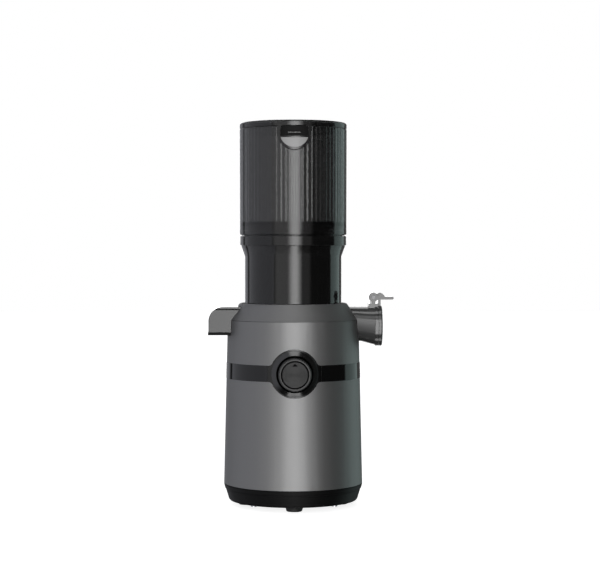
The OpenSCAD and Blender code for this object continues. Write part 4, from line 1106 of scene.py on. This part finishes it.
@dataclass
class Spout:
    """Juice spout and its hinged cap with a thumb lever."""

    flange_x: float = 89.0
    cap_x: float = 101.6
    axis_z: float = 214.5
    cap_r: float = 24.6
    cap_t: float = 4.6
    cap_edge: float = 1.8
    plug_r: float = 16.5
    plug_t: float = 4.4
    hinge: Point = (95.7, 249.0)
    knuckle_r: float = 5.6
    pin_r: float = 1.95
    wide: Point = (-5.5, 5.5)
    stem_t: float = 3.2
    stem_z: Point = (236.1, 251.0)
    arm_z: Point = (245.5, 253.4)
    root_r: float = 8.6
    lever_x: float = 120.4
    lever_t: float = 3.6

    def build(self) -> None:
        """Builds the spout with rounded flange and ears, and the cap in one with stem and lever."""
        pipe = softened("juice_spout", lambda m: m.x > self.flange_x, 0.35)
        stands_for(pipe, "juice_spout")
        edge = self.cap_edge
        cap = turned("cap_disc", [
            (self.plug_r, -self.plug_t), (self.plug_r, 0.0), (self.cap_r - 0.3, 0.0), (self.cap_r, 0.3),
            (self.cap_r, self.cap_t - edge), *arc((self.cap_r - edge, self.cap_t - edge), edge, 18, 90, 5)])
        lay(cap, (self.cap_x, 0.0, self.axis_z), (0, 90, 0))
        knuckle = sleeve("cap_knuckle", self.pin_r, self.knuckle_r, self.wide, 0.5, 48)
        for piece in (*self.stem(), *self.lever(), self.on_hinge(knuckle)):
            carve(cap, piece, "UNION")
        bore = turned("bore", [(self.pin_r, self.wide[0] - 1), (self.pin_r, self.wide[1] + 1)], 48)
        carve(cap, self.on_hinge(bore))
        cap.name = cap.data.name = "cap_soft"
        stands_for(cap, "spout_cap")

    def on_hinge(self, piece: Piece) -> Piece:
        """Lays a piece turned round +Z along the hinge's axis."""
        return lay(piece, (self.hinge[0], 0.0, self.hinge[1]), (90, 0, 0))

    def stem(self) -> tuple[Piece, Piece]:
        """Shapes the stem up from the disc and its arm to the knuckle.

        Returns:
            The stem and the arm.
        """
        stem = block("cap_stem", (self.cap_x, self.cap_x + self.stem_t), self.wide, self.stem_z)
        arm = block("cap_arm", (self.hinge[0] + 2.5, self.cap_x + 1.0),
                    (self.wide[0] + 0.1, self.wide[1] - 0.1), self.arm_z, stay_open=True)
        ease(arm, lambda m: m.x > self.cap_x and m.z > self.arm_z[1] - 0.4, 1.2, 4)
        close_up(arm)
        return rounded(stem, 0.4), rounded(arm, 0.25)

    def lever(self) -> tuple[Piece, Piece]:
        """Shapes the lever's domed root and its flat tip.

        Returns:
            The root and the tip.
        """
        low, round_x = self.hinge[1] - 3.0, self.cap_x + self.root_r
        root = block("lever_root", (self.cap_x, round_x + 0.5), self.wide, (low, low + self.root_r),
                     stay_open=True)
        ease(root, lambda m: m.x > round_x and m.z > low + self.root_r - 0.1, self.root_r - 0.1, 12)
        close_up(root)
        tip = block("lever_tip", (self.cap_x, self.lever_x), self.wide, (low, low + self.lever_t),
                    stay_open=True)
        ease(tip, lambda m: m.x > self.lever_x - 0.1 and abs(m.y) < 0.1, 1.7, 5)
        close_up(tip)
        return rounded(root, 0.35, angle=50), rounded(tip, 0.3, angle=50)


@dataclass
class Chute:
    """Pulp chute: a thin duct with a rounded outer corner, a groove along each side and a thick rim."""

    reach: float = 101.0
    half_w: float = 25.0
    low: float = 204.5
    high: float = 238.0
    corner: float = 17.0
    edge: float = 0.7
    wall: float = 2.4
    floor: float = 3.5
    mouth_x: float = 84.5
    rim: float = 0.6
    rim_x: float = 79.5
    sole_rim: float = 0.05
    groove_x: float = 93.0
    groove_t: float = 0.8
    groove_z: Point = (234.3, 235.7)
    inner_x: float = -45.0
    hollow_x: float = -40.0
    drum_r: float = 57.95

    def shape(self, name: str, inset: float, low: float, inner_x: float) -> Piece:
        """Makes a block like the duct's, with its outer corner rounded.

        Args:
            name: the piece's name.
            inset: how far it stays inside the duct.
            low: its lowest Z.
            inner_x: its end towards the drum.

        Returns:
            The piece.
        """
        end, top, wide = -self.reach + inset, self.high - inset, self.half_w - inset
        duct = block(name, (end, inner_x), (-wide, wide), (low, top), stay_open=True)
        ease(duct, lambda m: m.x < end + 0.1 and m.z > top - 0.1, self.corner - inset, 14)
        return close_up(duct)

    def build(self) -> None:
        """Models the duct with its rim and grooves, hollows it and opens its mouth."""
        duct = rounded(self.shape("chute_soft", 0.0, self.low, self.inner_x), self.edge, 3, 50)
        dress(duct, skin("pulp_chute"))
        # The lip and sole are dark, and the grooves' faces take painted shade
        dark = RIM_AND_GROOVE_SHADE.make()
        foot, drum_x = (self.low, self.low + self.floor), -self.drum_r - 2
        wide = self.half_w + self.rim
        lip = block("lip", (-self.reach - self.rim, -self.rim_x), (-wide, wide), foot)
        carve(duct, rounded(dress(lip, dark), 0.3), "UNION")
        wide = self.half_w + self.sole_rim
        sole = block("sole", (-self.rim_x - 0.5, drum_x), (-wide, wide), foot)
        carve(duct, dress(sole, dark), "UNION")
        for y in (-self.half_w, self.half_w):
            groove = block("groove", (-self.groove_x, drum_x), (y - self.groove_t, y + self.groove_t),
                           self.groove_z)
            carve(duct, dress(groove, dark))
        carve(duct, self.shape("hollow", self.wall, foot[1], self.hollow_x))
        wide = self.half_w - self.wall
        carve(duct, block("mouth", (-self.reach + self.wall, -self.mouth_x), (-wide, wide),
                          (foot[0] - 2, foot[1] + 2)))
        carve(duct, turned("core", [
            (self.drum_r, self.low - 4), (self.drum_r, self.high + 4)], 128))
        stands_for(duct, "pulp_chute")


@dataclass
class Hopper:
    """Tall smoked hopper: fluted inside, with a bead at its foot, a funnel floor and three lugs."""

    top: float = 449.5
    flute_depth: float = 0.7
    bore_r: float = 61.25
    bead_z: float = 328.0
    bead: float = 0.3
    lower_r: float = 63.9
    rim_r: float = 64.2
    skirt: tuple[Point, ...] = (
        (56.5, 308.7), (56.9, 308.3), (58.6, 308.3), (58.9, 308.6), (58.9, 316.8), (57.7, 316.8),
        (57.7, 319.8), (58.9, 319.8), (58.9, 322.6), (61.5, 322.6), (61.8, 322.9), (61.8, 323.5),
        (62.9, 323.5))
    throat: tuple[Point, ...] = (
        (38.8, 331.1), (38.2, 330.7), (38.0, 330.1), (38.0, 299.8), (38.3, 299.5), (40.1, 299.5),
        (40.4, 299.8), (40.4, 328.4), (56.5, 333.5))
    hub: tuple[Point, ...] = (
        (4.3, 315.0), (4.3, 301.4), (4.7, 301.0), (8.6, 301.0), (9.0, 301.4), (9.0, 318.0), (8.0, 319.0))
    bar: tuple[Point, ...] = ((-39.0, 39.0), (-4.5, 4.5), (312.0, 318.0))
    lug: tuple[Point, ...] = ((57.9, 60.7), (-5.0, 5.0), (313.4, 316.4))
    hinge_x: Point = (-7.5, 7.5)

    def build(self) -> None:
        """Turns the shell, presses in its flutes and adds lugs, bar, hub and knuckle."""
        shell = turned("hopper_soft", [
            *self.skirt, *arc((62.9, 324.5), 1.0, -72, 0), (self.lower_r, self.bead_z - 1.2),
            *arc((self.lower_r - 1.0 + self.bead, self.bead_z), 1.0, -30, 30),
            (self.lower_r, self.bead_z + 1.2), (self.lower_r, FLUTE_Z), (self.rim_r, self.top - 0.6),
            *arc((self.rim_r - 0.6, self.top - 0.6), 0.6, 18, 90), (62.0, self.top),
            (self.bore_r, self.top - 0.7), (self.bore_r, FLUTE_Z + 1.4),
            (self.bore_r - 1.0, FLUTE_Z), *self.throat], 4 * FLUTES, loop=True)
        self.press_flutes(shell)
        lug = rounded(block("lug", *self.lug), 0.5)
        bar = rounded(block("bar", *self.bar), 0.8)
        hub = turned("hub", [*self.hub], 48)
        hopper = joined(shell, *repeated(lug, 30, 150, 270), bar, hub, self.hinge())
        stands_for(hopper, "hopper")

    def press_flutes(self, shell: Piece) -> None:
        """Widens the bore at each flute's valley and narrows it at each crest.

        Args:
            shell: the turned shell, with four vertices of its bore to a flute.
        """
        take(shell)
        bpy.ops.object.mode_set(mode="EDIT")
        for phase, side in ((0, 1), (2, -1)):
            pick(shell, Kind.VERT, lambda m: abs(off_axis(m) - self.bore_r) < 0.05
                 and round(math.atan2(m.y, m.x) * 2 * FLUTES / math.pi) % 4 == phase)
            factor = 1 + side * self.flute_depth / 2 / self.bore_r
            widen(factor, factor)
        close_up(shell)

    def hinge(self) -> Piece:
        """Shapes the rear knuckle on its pad.

        Returns:
            Both in one.
        """
        y, z = LID_HINGE
        pad = block("pad", self.hinge_x, (self.rim_r - 1.5, y + KNUCKLE_R), (z - 12, z), stay_open=True)
        pick(pad, Kind.VERT, lambda m: m.z < z - 11 and m.y > y)
        shift(y=-4.5)
        close_up(pad)
        rod = sleeve("rod", 1.6, KNUCKLE_R, self.hinge_x, 0.4)
        return joined(rounded(pad, 0.4), lay(rod, (0.0, y, z), (0, 90, 0)))


@dataclass
class Lid:
    """Smoked lid: a disc with a rounded edge, a plug lip, a finger tab and two knuckles."""

    low: float = 449.8
    high: float = 457.3
    radius: float = 64.2
    plug_r: float = 60.05
    plug_wall: float = 2.6
    plug_z: float = 445.8
    plate: float = 2.8
    edge: float = 3.0
    low_edge: float = 0.9
    slot: Point = (-8.0, 8.0)
    tab_r: float = 20.0
    tab_z: float = 441.6
    tab_y: float = 67.1
    tab_t: float = 2.4
    tab_top: float = 454.8
    tab_root: float = 1.8
    border: float = 3.0
    ledge_z: float = 436.7
    ledge_t: float = 1.2
    recess: float = 0.8
    pocket: float = 1.4
    brow: float = 4.3
    rim: float = 1.0
    bead_x: Point = (-8.0, 8.0)
    bead_t: float = 1.8
    knuckle_w: float = 8.0
    knuckle_x: Point = (-16.0, 8.0)

    def build(self) -> None:
        """Turns the disc and joins the tab, the bead across its pocket and the knuckles to it."""
        inner, edge, low_edge = self.plug_r - self.plug_wall, self.edge, self.low_edge
        disc = turned("lid_soft", [
            (inner, self.high - self.plate), (inner, self.plug_z + 0.3), (inner + 0.3, self.plug_z),
            (self.plug_r - 0.6, self.plug_z), (self.plug_r, self.plug_z + 0.6), (self.plug_r, self.low),
            *arc((self.radius - low_edge, self.low + low_edge), low_edge, -90, 0),
            *arc((self.radius - edge, self.high - edge), edge, 0, 90, 8)], 192)
        carve(disc, block("slot", self.slot, (self.radius - 0.2, self.radius + 20),
                          (self.low - 8, self.high + 5)))
        smoke = skin("lid")
        tab = self.tab((smoke, GRIP.make(), POCKET.make()))
        front = self.pocket - 1.0 - self.tab_y
        bead = rounded(block("bead", self.bead_x, (front, front + self.bead_t),
                             (self.tab_z - 0.3, self.tab_z + 1.3)), 0.7, 3)
        others = [dress(piece, smoke) for piece in (bead, *self.knuckles())]
        stands_for(joined(dress(disc, smoke), tab, *others), "lid")

    def heights(self, x: float) -> tuple[float, ...]:
        """Gives the heights of the tab's outlines at one column.

        Args:
            x: the column's distance from the middle.

        Returns:
            The foot, the grip's arch, the ledge's two edges, the pocket's crown, the lid's lower
            edge and the tab's root.
        """
        half = math.sqrt(max(0.0, (self.tab_r - self.border) ** 2 - x ** 2))
        foot = self.tab_z - math.sqrt(max(0.0, self.tab_r ** 2 - x ** 2))
        arch = max(foot, min(self.tab_z - half, self.ledge_z))
        sill = max(foot, self.ledge_z + self.ledge_t)
        crown = max(sill, min(self.tab_z + half, self.tab_top - self.brow))
        return foot, arch, max(self.ledge_z, foot), sill, crown, max(self.low, crown), self.tab_top

    def tab(self, materials: tuple[Material, ...]) -> Piece:
        """Shapes the half-moon tab from a grid: its rows follow the outlines, its columns the curve.

        Args:
            materials: of the tab, its frosted grip with a painted highlight and the pocket above that with
                a painted shade.

        Returns:
            The tab.
        """
        columns, rows = 48, 6
        take()
        bpy.ops.mesh.primitive_grid_add(
            x_subdivisions=columns, y_subdivisions=rows, size=2 * self.tab_r * MM,
            location=(0, -self.tab_y * MM, 0), rotation=(math.radians(90), 0, 0))
        tab = dress(opened("tab"), *materials)
        # A vertex that has its place waits far aside, so that no later pick finds it
        aside = 1000.0
        for column in range(columns + 1):
            x = (2 * column / columns - 1) * self.tab_r
            bent = self.tab_r * math.sin(math.pi / 2 * x / self.tab_r)
            for row, height in enumerate(self.heights(bent)):
                z = (2 * row / rows - 1) * self.tab_r
                pick(tab, Kind.VERT, lambda m: abs(m.x - x) < 0.01 and abs(m.z - z) < 0.01)
                shift(bent - x + aside, self.tab_y - math.sqrt(self.tab_y ** 2 - bent ** 2), height - z)
        bpy.ops.mesh.select_all(action="SELECT")
        shift(x=-aside)
        bpy.ops.mesh.extrude_region_move()
        shift(y=self.tab_t)
        pick(tab, Kind.FACE, lambda m: self.low < m.z < self.tab_top - 0.1
             and off_axis(m) < self.tab_y - 1.9)
        bpy.ops.mesh.extrude_region_move()
        shift(y=self.tab_root)
        # The grip gets its painted highlight, the pocket its painted shade
        for slot, low, high, depth in (
                (1, 0.0, self.ledge_z, self.recess),
                (2, self.ledge_z + self.ledge_t, self.tab_top - self.brow, self.pocket)):
            pick(tab, Kind.FACE, lambda m: low < m.z < high and off_axis(m) > self.tab_y - 0.3
                 and math.hypot(m.x, m.z - self.tab_z) < self.tab_r - self.border)
            bpy.ops.mesh.inset(thickness=0.3 * MM, depth=0.0)
            shift(y=depth)
            tint(tab, slot)
        close_up(tab)
        bpy.ops.object.mode_set(mode="EDIT")
        ease(tab, lambda m: math.hypot(m.x, m.z - self.tab_z) > self.tab_r - 0.3
             and off_axis(m) > self.tab_y - 0.3 and m.z < self.low - 1, self.rim, 4, 60)
        return rounded(close_up(tab), 0.3, angle=35)

    def knuckles(self) -> list[Piece]:
        """Shapes a rear knuckle on its arm for both sides.

        Returns:
            The knuckles and their arms.
        """
        y, z = LID_HINGE
        pieces = []
        for x in self.knuckle_x:
            rod = sleeve("lid_rod", 1.65, KNUCKLE_R, (0.0, self.knuckle_w), 0.4)
            pieces.append(lay(rod, (x, y, z), (0, 90, 0)))
            arm = block("lid_arm", (x, x + self.knuckle_w), (self.radius - 3.0, y),
                        (self.low, self.low + 2.6))
            pieces.append(rounded(arm, 0.4))
        return pieces


def main() -> None:
    """Builds the studio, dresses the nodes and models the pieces."""
    logging.basicConfig(level=logging.INFO, format="%(message)s")
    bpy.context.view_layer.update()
    Studio().build()
    dress_nodes()
    for assembly in (Body(), Selector(), Drum(), Spout(), Chute(), Hopper(), Lid()):
        assembly.build()


if __name__ == "__main__":
    main()
